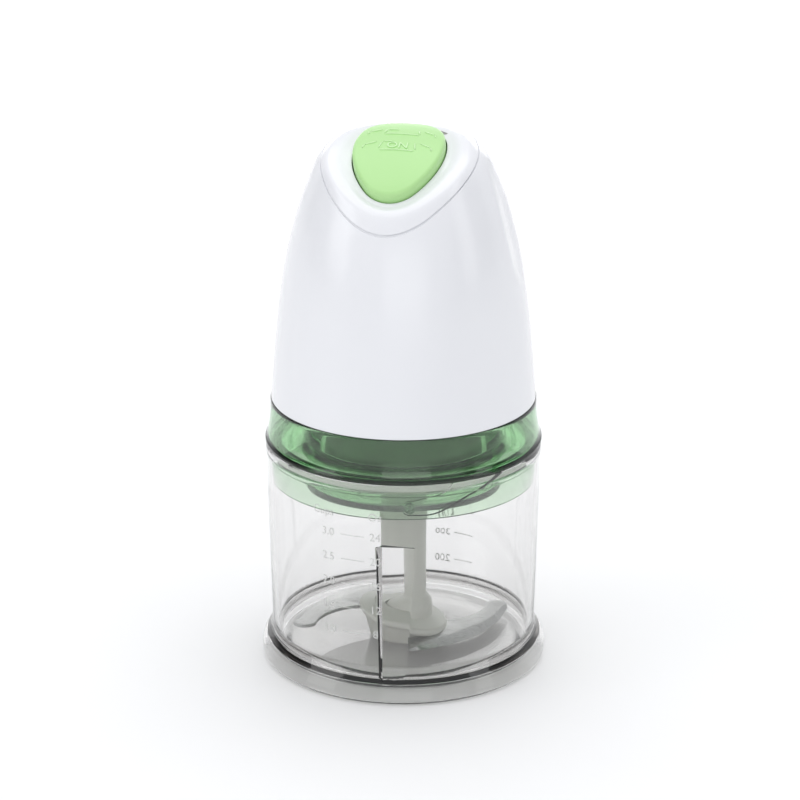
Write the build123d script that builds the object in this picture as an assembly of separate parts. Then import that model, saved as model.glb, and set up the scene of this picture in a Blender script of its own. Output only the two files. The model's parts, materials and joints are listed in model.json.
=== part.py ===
"""Mini food processor: clear bowl with a spinning blade, green twist-lock lid and a bullet-shaped motor unit.

Frame: millimetres, +Z up, origin on the base plane at the centre of the bowl, front of the object at -Y.
Every separate physical piece is one STEP file in parts/.
"""
import math
import os

from build123d import *

os.makedirs("parts", exist_ok=True)

# ---------------------------------------------------------------- driving dimensions
# bowl
BASE_R = 65.4            # widest point of the flared foot
WALL_FOOT_R = 60.6       # outer wall just above the foot
WALL_TOP_R = 62.3        # outer wall below the rim lip
RIM_R = 62.9             # rim lip
BOWL_IN_FOOT_R = 58.0
BOWL_IN_TOP_R = 59.6
FLOOR_Z = 7.5            # inner floor
FOOT_TOP_Z = 17.0
RIM_Z = 105.5
RIB_TOP_Z = 73.0
RIB_DEPTH = 2.7
RIB_ANGLE = 20.0         # from the steep face to where the flat face is buried in the wall
RIB_COUNT = 2
PIVOT_R = 3.0
PIVOT_TOP_Z = 36.0

# twist lock between lid and bowl
LUG_COUNT = 3
LUG_R = 2.1
LUG_REACH_R = 60.9
LUG_ANGLE = 13.6         # locked place of the front lug, from the front towards +X
LUG_Z = 93.8
SLOT_END_Z = 94.1
SLOT_HALF_HEIGHT = 3.4
SLOT_DEPTH_R = 61.2
SLOT_MID_ANGLE = 36.0

# lid
LID_TOP_Z = 125.8
LID_TOP_R = 60.5
LID_LIP_R = 63.1
LID_WALL = 2.2
FLANGE_Z = RIM_Z + 0.1
SKIRT_R = 58.9
SKIRT_Z = 88.0
GASKET_SEAT_R = 57.9
CUP_R = 44.5
CUP_STEP_R = 36.0
CUP_Z = 88.0
CUP_FLOOR_Z = 93.5
LID_HOLE_R = 12.5

# motor unit
SHELL_WALL = 2.4
TILT = 27.0              # slope of the top panel
PANEL_Z = 243.9          # height of the panel's top plane on the axis
PANEL_THICK = 3.2
DISH_DEPTH = 0.9
DISH_INSET = 8.0
GRIP_DEPTH = 2.0         # finger scoops at the sides
GRIP_TOOL_R = 26.0
GRIP_Z = 191.0
GRIP_SKIN_R = 53.0
GRIP_LEAN = 14.0
SPIGOT_R = 38.9
SPIGOT_Z = 98.0
SPIGOT_WALL = 2.2
CHASSIS_R = 57.0
CHASSIS_THICK = 3.0
GLAND_Z = 137.0
GLAND_R = 6.0
GLAND_BORE_R = 3.3

# power button
BUTTON_RISE = 5.0
BUTTON_CROWN_R = 300.0
BUTTON_CLEAR = 0.35
BUTTON_SIDE_R = 45.0
BUTTON_BACK_R = 38.0
STEM_R = 3.0

# gearbox
MODULE = 0.8
SUN_TEETH = 12
PLANET_TEETH = 18
RING_TEETH = SUN_TEETH + 2 * PLANET_TEETH
PLANET_COUNT = 3
PRESSURE_ANGLE = math.radians(20)
ADDENDUM = 0.8 * MODULE
DEDENDUM = 0.95 * MODULE
BACKLASH = 0.15
GEAR_Z = 108.4
GEAR_HEIGHT = 9.2
PLANET_R = MODULE * (SUN_TEETH + PLANET_TEETH) / 2
PLANET_PIN_R = 2.0
CASE_R = 30.0
RING_OUT_R = 26.0
CARRIER_Z = 106.0
CARRIER_TOP_Z = 108.0
SPINDLE_R = 4.0
SPINDLE_Z = 89.0
RUNNING = 0.05           # radial clearance of a shaft in its bearing

# motor
MOTOR_SHAFT_R = 2.5
PLATE_Z = LID_TOP_Z + CHASSIS_THICK
BRACKET_Z = PLATE_Z + 4.0
STACK_Z = 150.0
STACK_HEIGHT = 30.0
STATOR_X = 58.0
STATOR_Y = 50.0
BORE_R = 16.3
ARMATURE_R = 15.8
ARMATURE_SLOTS = 12
COMMUTATOR_Z = 189.0
COMMUTATOR_R = 10.0
TOP_BRACKET_Z = 204.0
BEARING_R = 6.5
POST_X = 24.0
POST_Y = 20.0

# blade unit
HUB_TUBE_R = 10.5
HUB_TOP_Z = 96.0
HUB_COLLAR_R = 13.3
HUB_BRIM_R = 20.5
BRIM_TILT = 15.0
HUB_BOTTOM_Z = 8.2
LOWER_BLADE_Z = 11.5
UPPER_BLADE_Z = 21.5
BLADE_THICK = 1.5
BLADE_TURN = 11.0        # the angle the blades are parked at
SOCKET_R = 8.5
SOCKET_Z = 84.0
DOG_HALF_ANGLE = 20.0

BACK_PLANE = Plane(origin=(0, 0, PANEL_Z), x_dir=(1, 0, 0),
                   z_dir=(0, -math.sin(math.radians(TILT)), math.cos(math.radians(TILT))))


# ---------------------------------------------------------------- helpers
def turned(*edges):
    """Solid of revolution about Z of a closed outline given as (radius, height)."""
    return revolve(Plane.XZ * make_face(list(edges)), Axis.Z)


def turned_points(*points):
    """Solid of revolution about Z of a closed straight-sided outline."""
    return turned(Polyline(*points, close=True))


def tube(outer_r, inner_r, low_z, high_z):
    """Upright ring, or a disc when inner_r is zero."""
    body = Pos(0, 0, (low_z + high_z) / 2) * Cylinder(outer_r, high_z - low_z)
    if inner_r:
        body -= Pos(0, 0, (low_z + high_z) / 2) * Cylinder(inner_r, high_z - low_z + 2)
    return body


def block(x, y, z, low_z, centre_x=0, centre_y=0):
    """Box standing on low_z."""
    return Pos(centre_x, centre_y, low_z + z / 2) * Box(x, y, z)


def from_front(angle, radius, z):
    """Point at an angle measured from the front (-Y) towards +X."""
    a = math.radians(angle)
    return (radius * math.sin(a), -radius * math.cos(a), z)


def radial_pin(angle, radius, inner_r, outer_r, z):
    """Cylinder that lies along a radius at the given angle from the front."""
    length = outer_r - inner_r
    at = Plane(origin=from_front(angle, (inner_r + outer_r) / 2, z), z_dir=from_front(angle, 1, 0))
    return at * Cylinder(radius, length)


def save(name, shape):
    """Write one piece, or a group of like pieces, to its STEP file."""
    solids = shape.solids()
    export_step(solids[0] if len(solids) == 1 else Compound(children=list(solids)), f"parts/{name}.step")


# ---------------------------------------------------------------- bowl
def bowl_shell():
    """Outside and inside of the bowl in one outline: foot ring, flare, wall, rim lip, wall, floor."""
    flare = Spline((BASE_R, 5.0), (BASE_R - 0.7, 9.0), (WALL_FOOT_R + 1.7, 13.0), (WALL_FOOT_R, FOOT_TOP_Z))
    corner = ThreePointArc((BOWL_IN_FOOT_R, FLOOR_Z + 3.6), (BOWL_IN_FOOT_R - 1.1, FLOOR_Z + 1.1),
                           (BOWL_IN_FOOT_R - 3.6, FLOOR_Z))
    bottom = Polyline((0, FLOOR_Z), (0, 3.2), (57.5, 3.2), (60.0, 0), (BASE_R - 1.8, 0),
                      (BASE_R, 1.8), (BASE_R, 5.0))
    wall_out = Polyline((WALL_FOOT_R, FOOT_TOP_Z), (WALL_TOP_R - 0.1, 78), (WALL_TOP_R, 99.5),
                        (RIM_R, 100.1), (RIM_R, RIM_Z - 0.5), (RIM_R - 0.5, RIM_Z),
                        (BOWL_IN_TOP_R + 0.4, RIM_Z), (BOWL_IN_TOP_R, RIM_Z - 0.4))
    wall_in = Polyline((BOWL_IN_TOP_R, RIM_Z - 0.4), (BOWL_IN_TOP_R - 0.1, 78),
                       (BOWL_IN_FOOT_R, FLOOR_Z + 3.6))
    floor = Line((BOWL_IN_FOOT_R - 3.6, FLOOR_Z), (0, FLOOR_Z))
    return turned(bottom, flare, wall_out, wall_in, corner, floor)


def wedge_rib(angle):
    """Saw-tooth rib on the inside of the wall: one steep radial face, one flat face that runs out."""
    steep_r = BOWL_IN_FOOT_R + 0.6 - RIB_DEPTH
    buried_r = WALL_FOOT_R - 0.4
    points = [from_front(angle, buried_r, 0), from_front(angle, steep_r, 0),
              from_front(angle + RIB_ANGLE, buried_r, 0), from_front(angle + RIB_ANGLE / 2, buried_r, 0)]
    face = make_face(Polyline(*[(x, y) for x, y, _ in points], close=True))
    return Pos(0, 0, FLOOR_Z - 1) * extrude(face, RIB_TOP_Z - FLOOR_Z + 1)


def lock_slot(angle):
    """Groove for one lid lug: a short level stretch with a round end, then a ramp up to the rim."""
    def at(from_lug, z):
        side = BOWL_IN_TOP_R * math.sin(math.radians(LUG_ANGLE + from_lug - SLOT_MID_ANGLE))
        return (side, z)

    end_low = at(0, SLOT_END_Z - SLOT_HALF_HEIGHT)
    end_high = at(0, SLOT_END_Z + SLOT_HALF_HEIGHT)
    end_side = (at(0, 0)[0] - SLOT_HALF_HEIGHT, SLOT_END_Z)
    lower = Spline(end_low, at(9, SLOT_END_Z - SLOT_HALF_HEIGHT), at(24.4, 97.0), at(36, 101.5),
                   at(47, RIM_Z + 1), tangents=[(1, 0), (1, 0.35)])
    rim = Line(at(47, RIM_Z + 1), at(19, RIM_Z + 1))
    upper = Spline(at(19, RIM_Z + 1), at(16, 101.9), at(7, 98.9), end_high, tangents=[(0, -1), (-1, 0)])
    face = make_face([ThreePointArc(end_high, end_side, end_low), lower, rim, upper])
    ring = tube(SLOT_DEPTH_R, BOWL_IN_TOP_R - 2, SLOT_END_Z - 10, RIM_Z + 1)
    across = Plane(origin=(0, 0, 0), x_dir=from_front(SLOT_MID_ANGLE + angle + 90, 1, 0),
                   z_dir=from_front(SLOT_MID_ANGLE + angle, 1, 0))
    return extrude(across * face, SLOT_DEPTH_R + 2) & ring


def bowl():
    """Clear bowl with foot, two wedge ribs, floor boss for the pivot pin and the lock grooves."""
    body = bowl_shell()
    for i in range(RIB_COUNT):
        body += wedge_rib(i * 360 / RIB_COUNT)
    for i in range(LUG_COUNT):
        body -= lock_slot(i * 360 / LUG_COUNT)
    body -= tube(PIVOT_R, 0, 4.2, FLOOR_Z + 2)
    return body


def blade_pivot_pin():
    """Steel pin pressed in the floor that the blade unit turns on."""
    pin = tube(PIVOT_R, 0, 4.2, PIVOT_TOP_Z)
    return chamfer(pin.edges().sort_by(Axis.Z)[-1], 0.8)


# ---------------------------------------------------------------- lid
def lid_profile():
    """Lid in section: band under the motor unit, flange, skirt inside the bowl, stepped cup for the spigot."""
    w = LID_WALL
    cup_in_r = CUP_R - w
    band = Spline((LID_TOP_R, LID_TOP_Z), (LID_TOP_R + 0.4, 116.0), (LID_LIP_R - 0.5, 107.4),
                  tangents=[(0, -1), (0.35, -1)])
    outside = Polyline((LID_LIP_R - 0.5, 107.4), (LID_LIP_R, 106.9), (LID_LIP_R, FLANGE_Z),
                       (GASKET_SEAT_R, FLANGE_Z), (GASKET_SEAT_R, 101.0), (SKIRT_R, 100.4),
                       (SKIRT_R, SKIRT_Z + 0.4), (SKIRT_R - 0.4, SKIRT_Z), (SKIRT_R - 1.8, SKIRT_Z),
                       (SKIRT_R - 2.4, 101.0), (SKIRT_R - 3.2, FLANGE_Z), (CUP_R, FLANGE_Z),
                       (CUP_R, CUP_Z + 1.2), (CUP_R - 1.2, CUP_Z), (CUP_STEP_R, CUP_Z),
                       (CUP_STEP_R - w, CUP_Z + w), (CUP_STEP_R - w, CUP_FLOOR_Z),
                       (LID_HOLE_R, CUP_FLOOR_Z), (LID_HOLE_R, CUP_FLOOR_Z + w), (CUP_STEP_R, CUP_FLOOR_Z + w),
                       (CUP_STEP_R, CUP_Z + w), (cup_in_r - 1.0, CUP_Z + w), (cup_in_r, CUP_Z + w + 1.0),
                       (cup_in_r, 122.0), (CUP_R, 122.0), (CUP_R, FLANGE_Z + w),
                       (LID_LIP_R - 2.6, FLANGE_Z + w))
    inside = Spline((LID_LIP_R - 2.6, FLANGE_Z + w), (LID_TOP_R + 0.4 - w, 116.0), (LID_TOP_R - w, LID_TOP_Z))
    top = Line((LID_TOP_R - w, LID_TOP_Z), (LID_TOP_R, LID_TOP_Z))
    return turned(band, outside, inside, top)


def lid():
    """Transparent green lid with three round lugs on its skirt."""
    body = lid_profile()
    for i in range(LUG_COUNT):
        body += radial_pin(LUG_ANGLE + i * 360 / LUG_COUNT, LUG_R, SKIRT_R - 1.4, LUG_REACH_R, LUG_Z)
    return body


def lid_gasket():
    """Silicone ring with two lips in the corner under the flange."""
    inner = GASKET_SEAT_R + 0.05
    outer = BOWL_IN_TOP_R - 0.25
    return turned_points((inner, 101.2), (outer - 0.6, 101.2), (outer, 101.8), (outer - 0.6, 102.6),
                         (outer - 0.6, 103.4), (outer, 104.0), (outer - 0.6, 104.9), (inner, 104.9))


# ---------------------------------------------------------------- motor unit: skins
def dome(inset):
    """Bullet-shaped solid, every point of its outline moved inwards by inset."""
    outline = [(60.1, LID_TOP_Z), (58.4, 148), (56.2, 170), (51.2, 200), (44.2, 224), (34.6, 242.5),
               (19.0, 250.7)]
    normals = []
    for i in range(len(outline)):
        r0, z0 = outline[max(i - 1, 0)]
        r1, z1 = outline[min(i + 1, len(outline) - 1)]
        length = math.hypot(r1 - r0, z1 - z0)
        normals.append(((z1 - z0) / length, (r0 - r1) / length))
    moved = [(r - inset * n[0], z - inset * n[1]) for (r, z), n in zip(outline, normals)]
    moved[0] = (60.1 - inset, LID_TOP_Z)
    top = 253.0 - inset
    side = Spline(*moved, (0, top), tangents=[(-0.06, 1), (-1, 0)])
    return turned(side, Polyline((0, top), (0, LID_TOP_Z), moved[0]))


def grip_scoops(extra):
    """Long shallow finger scoops on both sides: a tilted round-ended bar that only grazes the dome."""
    tools = None
    for side in (-1, 1):
        bar = Pos(0, 0, 40) * Cylinder(GRIP_TOOL_R + extra, 80) + Sphere(GRIP_TOOL_R + extra)
        centre_x = side * (GRIP_SKIN_R - GRIP_DEPTH + GRIP_TOOL_R)
        bar = Pos(centre_x, 0, GRIP_Z) * Rot(0, -side * GRIP_LEAN, 0) * bar
        tools = bar if tools is None else tools + bar
    return tools


def above_plane(offset, height=40):
    """Slab of space that starts at offset from the panel's top plane."""
    return BACK_PLANE * (Pos(0, 0, offset + height / 2) * Box(160, 160, height))


def motor_housing():
    """White shell: dome with finger scoops, open underneath, cut along the slope of the top panel."""
    outside = dome(0) - grip_scoops(0)
    inside = dome(SHELL_WALL) - grip_scoops(SHELL_WALL)
    body = outside - inside
    for i in range(4):
        angle = 45 + 90 * i
        x, y, _ = from_front(angle, 50.0, 0)
        boss = Pos(x, y, 0) * tube(4.5, 1.5, PLATE_Z, PLATE_Z + 20)
        web = Pos(x, y, 0) * Rot(0, 0, angle) * block(1.6, 9, 20, PLATE_Z, 0, -8.0)
        body += (boss + web) & dome(SHELL_WALL / 2)
        body -= Pos(x, y, 0) * tube(1.5, 0, PLATE_Z - 1, PLATE_Z + 20)
    body -= above_plane(-PANEL_THICK)
    body -= Pos(0, 56, GLAND_Z) * Rot(90, 0, 0) * Cylinder(GLAND_R, 30)
    return body


def button_outline(grow=0.0):
    """Guitar-pick outline in the panel's plane, tip towards the front: three arcs with rounded corners."""
    back = Pos(0, -25) * Circle(BUTTON_BACK_R)
    left = Pos(23.5, 6) * Circle(BUTTON_SIDE_R)
    right = Pos(-23.5, 6) * Circle(BUTTON_SIDE_R)
    pick = back & left & right
    pick = fillet(pick.vertices().sort_by(Axis.Y)[:1], 12)
    pick = fillet(pick.vertices().sort_by(Axis.Y)[-2:], 9)
    return offset(pick, amount=grow, kind=Kind.ARC) if grow else pick


def tilted(outline, low, high):
    """Outline in the panel's plane, extruded between two heights above that plane."""
    return BACK_PLANE * (Pos(0, 0, low) * extrude(outline, high - low))


def top_panel():
    """White insert on top: a sloping slice of the dome with a rounded rim and a shallow dish round the button."""
    slab = BACK_PLANE * (Pos(0, 0, -PANEL_THICK / 2) * Box(160, 160, PANEL_THICK))
    body = (dome(0) - grip_scoops(0)) & slab
    rim = body.faces().sort_by(Axis(BACK_PLANE.origin, BACK_PLANE.z_dir))[-1].edges()
    body = fillet(rim, 2.2)
    body -= tilted(button_outline(DISH_INSET), -DISH_DEPTH, 1)
    body -= tilted(button_outline(BUTTON_CLEAR), -PANEL_THICK - 1, 1)
    return body


def power_button():
    """Green push button: crowned pick-shaped cap, hollow underneath, with a stem."""
    cap = extrude(Pos(0, 0, -4.0) * button_outline(), BUTTON_RISE + 4.0)
    crown = Pos(0, -6, BUTTON_RISE - BUTTON_CROWN_R) * Sphere(BUTTON_CROWN_R)
    cap &= crown
    cap = fillet(cap.faces().sort_by(Axis.Z)[-1].edges(), 1.6)
    cap -= extrude(Pos(0, 0, -5.0) * offset(button_outline(), amount=-2.2, kind=Kind.ARC), 7.0)
    stem = tube(STEM_R, 0, -14.5, 2.4)
    return BACK_PLANE * (cap + stem)


def button_tray():
    """Tray clipped under the top panel that guides the button's stem and carries its spring."""
    body = extrude(Pos(0, 0, -12.0) * button_outline(3.0), 12.0 - PANEL_THICK)
    body -= extrude(Pos(0, 0, -10.5) * button_outline(BUTTON_CLEAR), 12.0)
    body -= tube(STEM_R + 0.1, 0, -13, -9)
    return BACK_PLANE * body


def button_spring():
    """Coil spring round the stem: six turns of round wire."""
    wire_r = 0.35
    low, high = -10.5 + wire_r, 2.0 - wire_r
    path = Helix(pitch=(high - low) / 6, height=high - low, radius=STEM_R + 1.2)
    section = Plane(origin=path @ 0, z_dir=path % 0) * Circle(wire_r)
    return BACK_PLANE * (Pos(0, 0, low) * sweep(section, path))


def micro_switch():
    """Momentary switch under the button, with a blind hole for its plunger and two terminals."""
    body = block(20, 6.4, 10, -27.6) - tube(1.56, 0, -22.5, -17)
    for x in (-7, 7):
        body += block(3.2, 0.8, 6, -33.6, x)
    return BACK_PLANE * body


def switch_plunger():
    """Plunger of the switch, pushed by the stem."""
    return BACK_PLANE * tube(1.5, 0, -19.4, -14.5)


# ---------------------------------------------------------------- motor unit: chassis and gearbox
def motor_base():
    """Grey chassis: flange that closes the dome and the spigot that drops into the lid."""
    wall = SPIGOT_WALL
    body = turned_points((SPIGOT_R, SPIGOT_Z + 1), (SPIGOT_R, LID_TOP_Z + 0.2), (CHASSIS_R, LID_TOP_Z + 0.2),
                         (CHASSIS_R, PLATE_Z), (SPIGOT_R - wall, PLATE_Z), (SPIGOT_R - wall, SPIGOT_Z + 2.5),
                         (9, SPIGOT_Z + 2.5), (9, 104), (BEARING_R, 104), (BEARING_R, SPIGOT_Z),
                         (SPIGOT_R - 1, SPIGOT_Z))
    for i in range(4):
        x, y, _ = from_front(45 + 90 * i, 50.0, 0)
        body -= Pos(x, y, 0) * (tube(1.6, 0, LID_TOP_Z - 1, PLATE_Z + 1) + tube(3.1, 0, LID_TOP_Z - 1, LID_TOP_Z + 1.4))
        x, y, _ = from_front(90 * i, 41.0, 0)
        body -= Pos(x, y, 0) * tube(1.25, 0, LID_TOP_Z + 1, PLATE_Z + 1)
    return body


def housing_screws():
    """Four screws that hold the chassis in the dome."""
    group = []
    for i in range(4):
        x, y, _ = from_front(45 + 90 * i, 50.0, 0)
        screw = tube(3.0, 0, LID_TOP_Z + 0.3, LID_TOP_Z + 1.4) + tube(1.45, 0, LID_TOP_Z + 1.4, PLATE_Z + 11)
        screw -= block(3.6, 0.7, 0.5, LID_TOP_Z + 0.3) + block(0.7, 3.6, 0.5, LID_TOP_Z + 0.3)
        group.append(Pos(x, y, 0) * screw)
    return Compound(children=group)


def shaft_seal():
    """Lip seal under the output bush."""
    return tube(BEARING_R, SPINDLE_R + 0.08, SPIGOT_Z + 0.1, SPIGOT_Z + 1.7)


def output_bush():
    """Bronze bush of the output spindle."""
    return tube(BEARING_R, SPINDLE_R + RUNNING, SPIGOT_Z + 1.8, 104)


def tooth_angle(radius, teeth, thin):
    """Half the angle that one involute tooth covers at a radius."""
    pitch_r = MODULE * teeth / 2
    base_r = pitch_r * math.cos(PRESSURE_ANGLE)
    half_at_pitch = math.pi / (2 * teeth) - thin / (2 * pitch_r)
    roll = math.acos(min(1.0, base_r / max(radius, base_r)))
    return half_at_pitch + (math.tan(PRESSURE_ANGLE) - PRESSURE_ANGLE) - (math.tan(roll) - roll)


def gear_face(teeth, tip_r, root_r, thin):
    """Outline of a spur gear with a tooth centred on +X; each flank is a few chords of its involute."""
    base_r = MODULE * teeth / 2 * math.cos(PRESSURE_ANGLE)
    start = max(root_r, base_r)
    radii = [start + (tip_r - start) * k / 4 for k in range(5)]
    if root_r < base_r:
        radii.insert(0, root_r)
    points = []
    for tooth in range(teeth):
        centre = 2 * math.pi * tooth / teeth
        for sign, flank in ((-1, radii), (1, radii[::-1])):
            for r in flank:
                a = centre + sign * tooth_angle(r, teeth, thin)
                points.append((r * math.cos(a), r * math.sin(a)))
    return make_face(Polyline(*points, close=True))


def spur_gear(teeth, bore_r):
    """External gear of the planetary set."""
    pitch_r = MODULE * teeth / 2
    face = gear_face(teeth, pitch_r + ADDENDUM, pitch_r - DEDENDUM, BACKLASH) - Circle(bore_r)
    return Pos(0, 0, GEAR_Z) * extrude(face, GEAR_HEIGHT)


def sun_gear():
    """Steel pinion on the end of the motor shaft."""
    return spur_gear(SUN_TEETH, MOTOR_SHAFT_R)


def planet_gear(i):
    """Planet in mesh with sun and ring, its gap turned towards the sun's tooth."""
    half_pitch = 180 / PLANET_TEETH
    turn = Rot(0, 0, half_pitch) * spur_gear(PLANET_TEETH, PLANET_PIN_R + RUNNING)
    return Rot(0, 0, i * 360 / PLANET_COUNT) * (Pos(PLANET_R, 0, 0) * turn)


def ring_gear():
    """Internal gear fixed in the case."""
    pitch_r = MODULE * RING_TEETH / 2
    space = gear_face(RING_TEETH, pitch_r + DEDENDUM, pitch_r - ADDENDUM, -BACKLASH)
    face = Circle(RING_OUT_R) - Rot(0, 0, 180 / RING_TEETH) * space
    return Pos(0, 0, GEAR_Z - 0.2) * extrude(face, GEAR_HEIGHT + 0.4)


def planet_carrier():
    """Steel disc that carries the planets' pins and the output spindle."""
    body = tube(17, SPINDLE_R, CARRIER_Z, CARRIER_TOP_Z)
    for i in range(PLANET_COUNT):
        body -= Rot(0, 0, i * 360 / PLANET_COUNT) * (Pos(PLANET_R, 0, 0) * tube(PLANET_PIN_R, 0, 100, 110))
    return body


def planet_pins():
    """Three pins pressed in the carrier."""
    pin = Pos(PLANET_R, 0, 0) * tube(PLANET_PIN_R, 0, CARRIER_Z, GEAR_Z + GEAR_HEIGHT + 0.2)
    return Compound(children=[Rot(0, 0, i * 360 / PLANET_COUNT) * pin for i in range(PLANET_COUNT)])


def output_spindle():
    """Output shaft with two flats at its end for the drive dog."""
    body = tube(SPINDLE_R, 0, SPINDLE_Z, CARRIER_TOP_Z)
    for side in (-1, 1):
        body -= block(10, 2, 8, SPINDLE_Z - 1, 0, side * (SPINDLE_R + 0.2))
    return body


def sector(radius, half_angle, low_z, high_z, middle):
    """Pie slice about Z, its middle at an angle from +X."""
    face = make_face(Polyline((0, 0), (2 * radius, -2 * radius * math.tan(math.radians(half_angle))),
                              (2 * radius, 2 * radius * math.tan(math.radians(half_angle))), close=True))
    slice_ = Rot(0, 0, middle) * (Pos(0, 0, low_z) * extrude(face, high_z - low_z))
    return slice_ & tube(radius, 0, low_z, high_z)


def drive_dog():
    """Two-winged coupling on the spindle's end; it turns the blade hub through its two inner lugs."""
    low, high = SPINDLE_Z - 1.5, SPINDLE_Z + 7
    body = tube(5.2, 0, low, high)
    for middle in (60, 240):
        body += sector(SOCKET_R - 0.8, DOG_HALF_ANGLE, low, high, middle)
    return body - output_spindle()


def gearbox_case():
    """Cup that holds the ring gear."""
    body = turned_points((CASE_R, 104), (CASE_R, 119.4), (RING_OUT_R, 119.4), (RING_OUT_R, 105.6),
                         (SPINDLE_R + 0.8, 105.6), (SPINDLE_R + 0.8, 104))
    for i in range(3):
        x, y, _ = from_front(60 + 120 * i, 28.0, 0)
        body -= Pos(x, y, 0) * tube(1.25, 0, 110, 120)
    return body


def gearbox_cover():
    """Disc that closes the gearbox, with a lip that holds the ring gear down."""
    body = turned_points((CASE_R, 119.4), (CASE_R, 121.4), (7, 121.4), (7, 119.4), (24, 119.4),
                         (24, GEAR_Z + GEAR_HEIGHT + 0.4), (RING_OUT_R - 0.1, GEAR_Z + GEAR_HEIGHT + 0.4),
                         (RING_OUT_R - 0.1, 119.4))
    for i in range(3):
        x, y, _ = from_front(60 + 120 * i, 28.0, 0)
        body -= Pos(x, y, 0) * tube(1.3, 0, 117, 122)
    return body


def gearbox_screws():
    """Three screws of the gearbox cover."""
    group = []
    for i in range(3):
        x, y, _ = from_front(60 + 120 * i, 28.0, 0)
        group.append(Pos(x, y, 0) * (tube(1.2, 0, 111, 121.4) + tube(2.0, 0, 121.4, 122.8)))
    return Compound(children=group)


# ---------------------------------------------------------------- motor
def motor_mount_plate():
    """Steel plate across the chassis that carries the motor."""
    body = tube(44, 8, PLATE_Z, PLATE_Z + 2)
    for i in range(4):
        x, y, _ = from_front(90 * i, 41.0, 0)
        body -= Pos(x, y, 0) * tube(1.4, 0, PLATE_Z - 1, PLATE_Z + 3)
    return body


def mount_plate_screws():
    """Four screws of the motor mount plate."""
    group = []
    for i in range(4):
        x, y, _ = from_front(90 * i, 41.0, 0)
        group.append(Pos(x, y, 0) * (tube(1.2, 0, LID_TOP_Z + 1.2, PLATE_Z + 2) + tube(2.4, 0, PLATE_Z + 2, PLATE_Z + 3.6)))
    return Compound(children=group)


def motor_rubber_ring():
    """Rubber ring between plate and motor."""
    return tube(22, 14, PLATE_Z + 2, BRACKET_Z)


def bracket(low_z, post_low, post_high):
    """End bracket of the motor with its four posts and bearing seat."""
    plate = extrude(fillet(Rectangle(STATOR_X, STATOR_Y).vertices(), 8), 2.5)
    body = Pos(0, 0, low_z) * plate
    for x in (-POST_X, POST_X):
        for y in (-POST_Y, POST_Y):
            body += Pos(x, y, 0) * tube(2.4, 0, post_low, post_high)
    return body - tube(BEARING_R, 0, low_z - 8, low_z + 8)


def bearing(low_z):
    """Sintered bearing of the motor shaft."""
    return tube(BEARING_R, MOTOR_SHAFT_R + RUNNING, low_z, low_z + 4.5)


def stator_core():
    """Laminated stack with a round bore and four windows for the field coils."""
    face = fillet(Rectangle(STATOR_X, STATOR_Y).vertices(), 8) - Circle(BORE_R)
    for x in (-17, 17):
        for y in (-19.05, 19.05):
            face -= Pos(x, y) * Rectangle(6.2, 4.7)
    return Pos(0, 0, STACK_Z) * extrude(face, STACK_HEIGHT)


def field_coils():
    """Two copper coils through the windows of the stack."""
    coil = block(40, 4.5, STACK_HEIGHT + 12, STACK_Z - 6) - block(28, 6, STACK_HEIGHT + 0.4, STACK_Z - 0.2)
    return Compound(children=[Pos(0, y, 0) * coil for y in (-19.05, 19.05)])


def motor_shaft():
    """Steel shaft from the sun gear up to the top bearing."""
    return tube(MOTOR_SHAFT_R, 0, GEAR_Z + 0.2, TOP_BRACKET_Z + 4)


def slot_cutter(width, inner_r, outer_r, low_z, high_z, index):
    """Radial slot of the armature or commutator."""
    cutter = block(outer_r - inner_r, width, high_z - low_z, low_z, (outer_r + inner_r) / 2)
    return Rot(0, 0, index * 360 / ARMATURE_SLOTS) * cutter


def armature_core():
    """Slotted stack on the shaft."""
    body = tube(ARMATURE_R, MOTOR_SHAFT_R, STACK_Z, STACK_Z + STACK_HEIGHT)
    for i in range(ARMATURE_SLOTS):
        body -= slot_cutter(2.6, 8.5, ARMATURE_R + 1, STACK_Z - 1, STACK_Z + STACK_HEIGHT + 1, i)
    return body


def armature_windings():
    """Copper windings: a bar in every slot, joined by the end turns."""
    low, high = STACK_Z - 5.5, STACK_Z + STACK_HEIGHT + 6
    body = tube(14.2, 4, low, STACK_Z - 0.1) + tube(14.2, 4, STACK_Z + STACK_HEIGHT + 0.1, high)
    for i in range(ARMATURE_SLOTS):
        body += slot_cutter(2.3, 9.0, 14.2, STACK_Z - 1, STACK_Z + STACK_HEIGHT + 1, i)
    return body


def commutator():
    """Copper commutator with its bars parted by fine slits."""
    body = tube(COMMUTATOR_R, MOTOR_SHAFT_R, COMMUTATOR_Z, COMMUTATOR_Z + 12)
    for i in range(ARMATURE_SLOTS):
        body -= slot_cutter(0.6, 8.8, COMMUTATOR_R + 1, COMMUTATOR_Z + 1, COMMUTATOR_Z + 13, i)
    return body


def brush_holders():
    """Two insulating holders under the top bracket."""
    group = []
    for side in (-1, 1):
        holder = block(15, 9, TOP_BRACKET_Z - 190.5, 190.5, side * 18.5)
        holder -= Pos(side * 18.5, 0, 195) * Box(20, 4.8, 5.8)
        group.append(holder)
    return Compound(children=group)


def carbon_brushes():
    """Two carbon brushes that ride on the commutator."""
    return Compound(children=[Pos(side * 16.2, 0, 195) * Box(12, 4.6, 5.6) for side in (-1, 1)])


def cooling_fan():
    """Moulded fan between bottom bracket and stack."""
    low = 138.6
    body = tube(22, MOTOR_SHAFT_R, low, low + 1.4) + tube(5.5, MOTOR_SHAFT_R, low, low + 4.6)
    for i in range(10):
        blade = block(17, 1.0, 3.6, low + 1, 13)
        body += Rot(0, 0, 36 * i) * blade
    return body


def circuit_board():
    """Control board upright behind the motor."""
    return block(36, 1.6, 44, 146, 0, 38)


def filter_capacitor():
    """Suppression capacitor on the board."""
    return fillet(block(18, 8, 14, 150, 0, 33.2).edges().filter_by(Axis.Y), 1)


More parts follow.
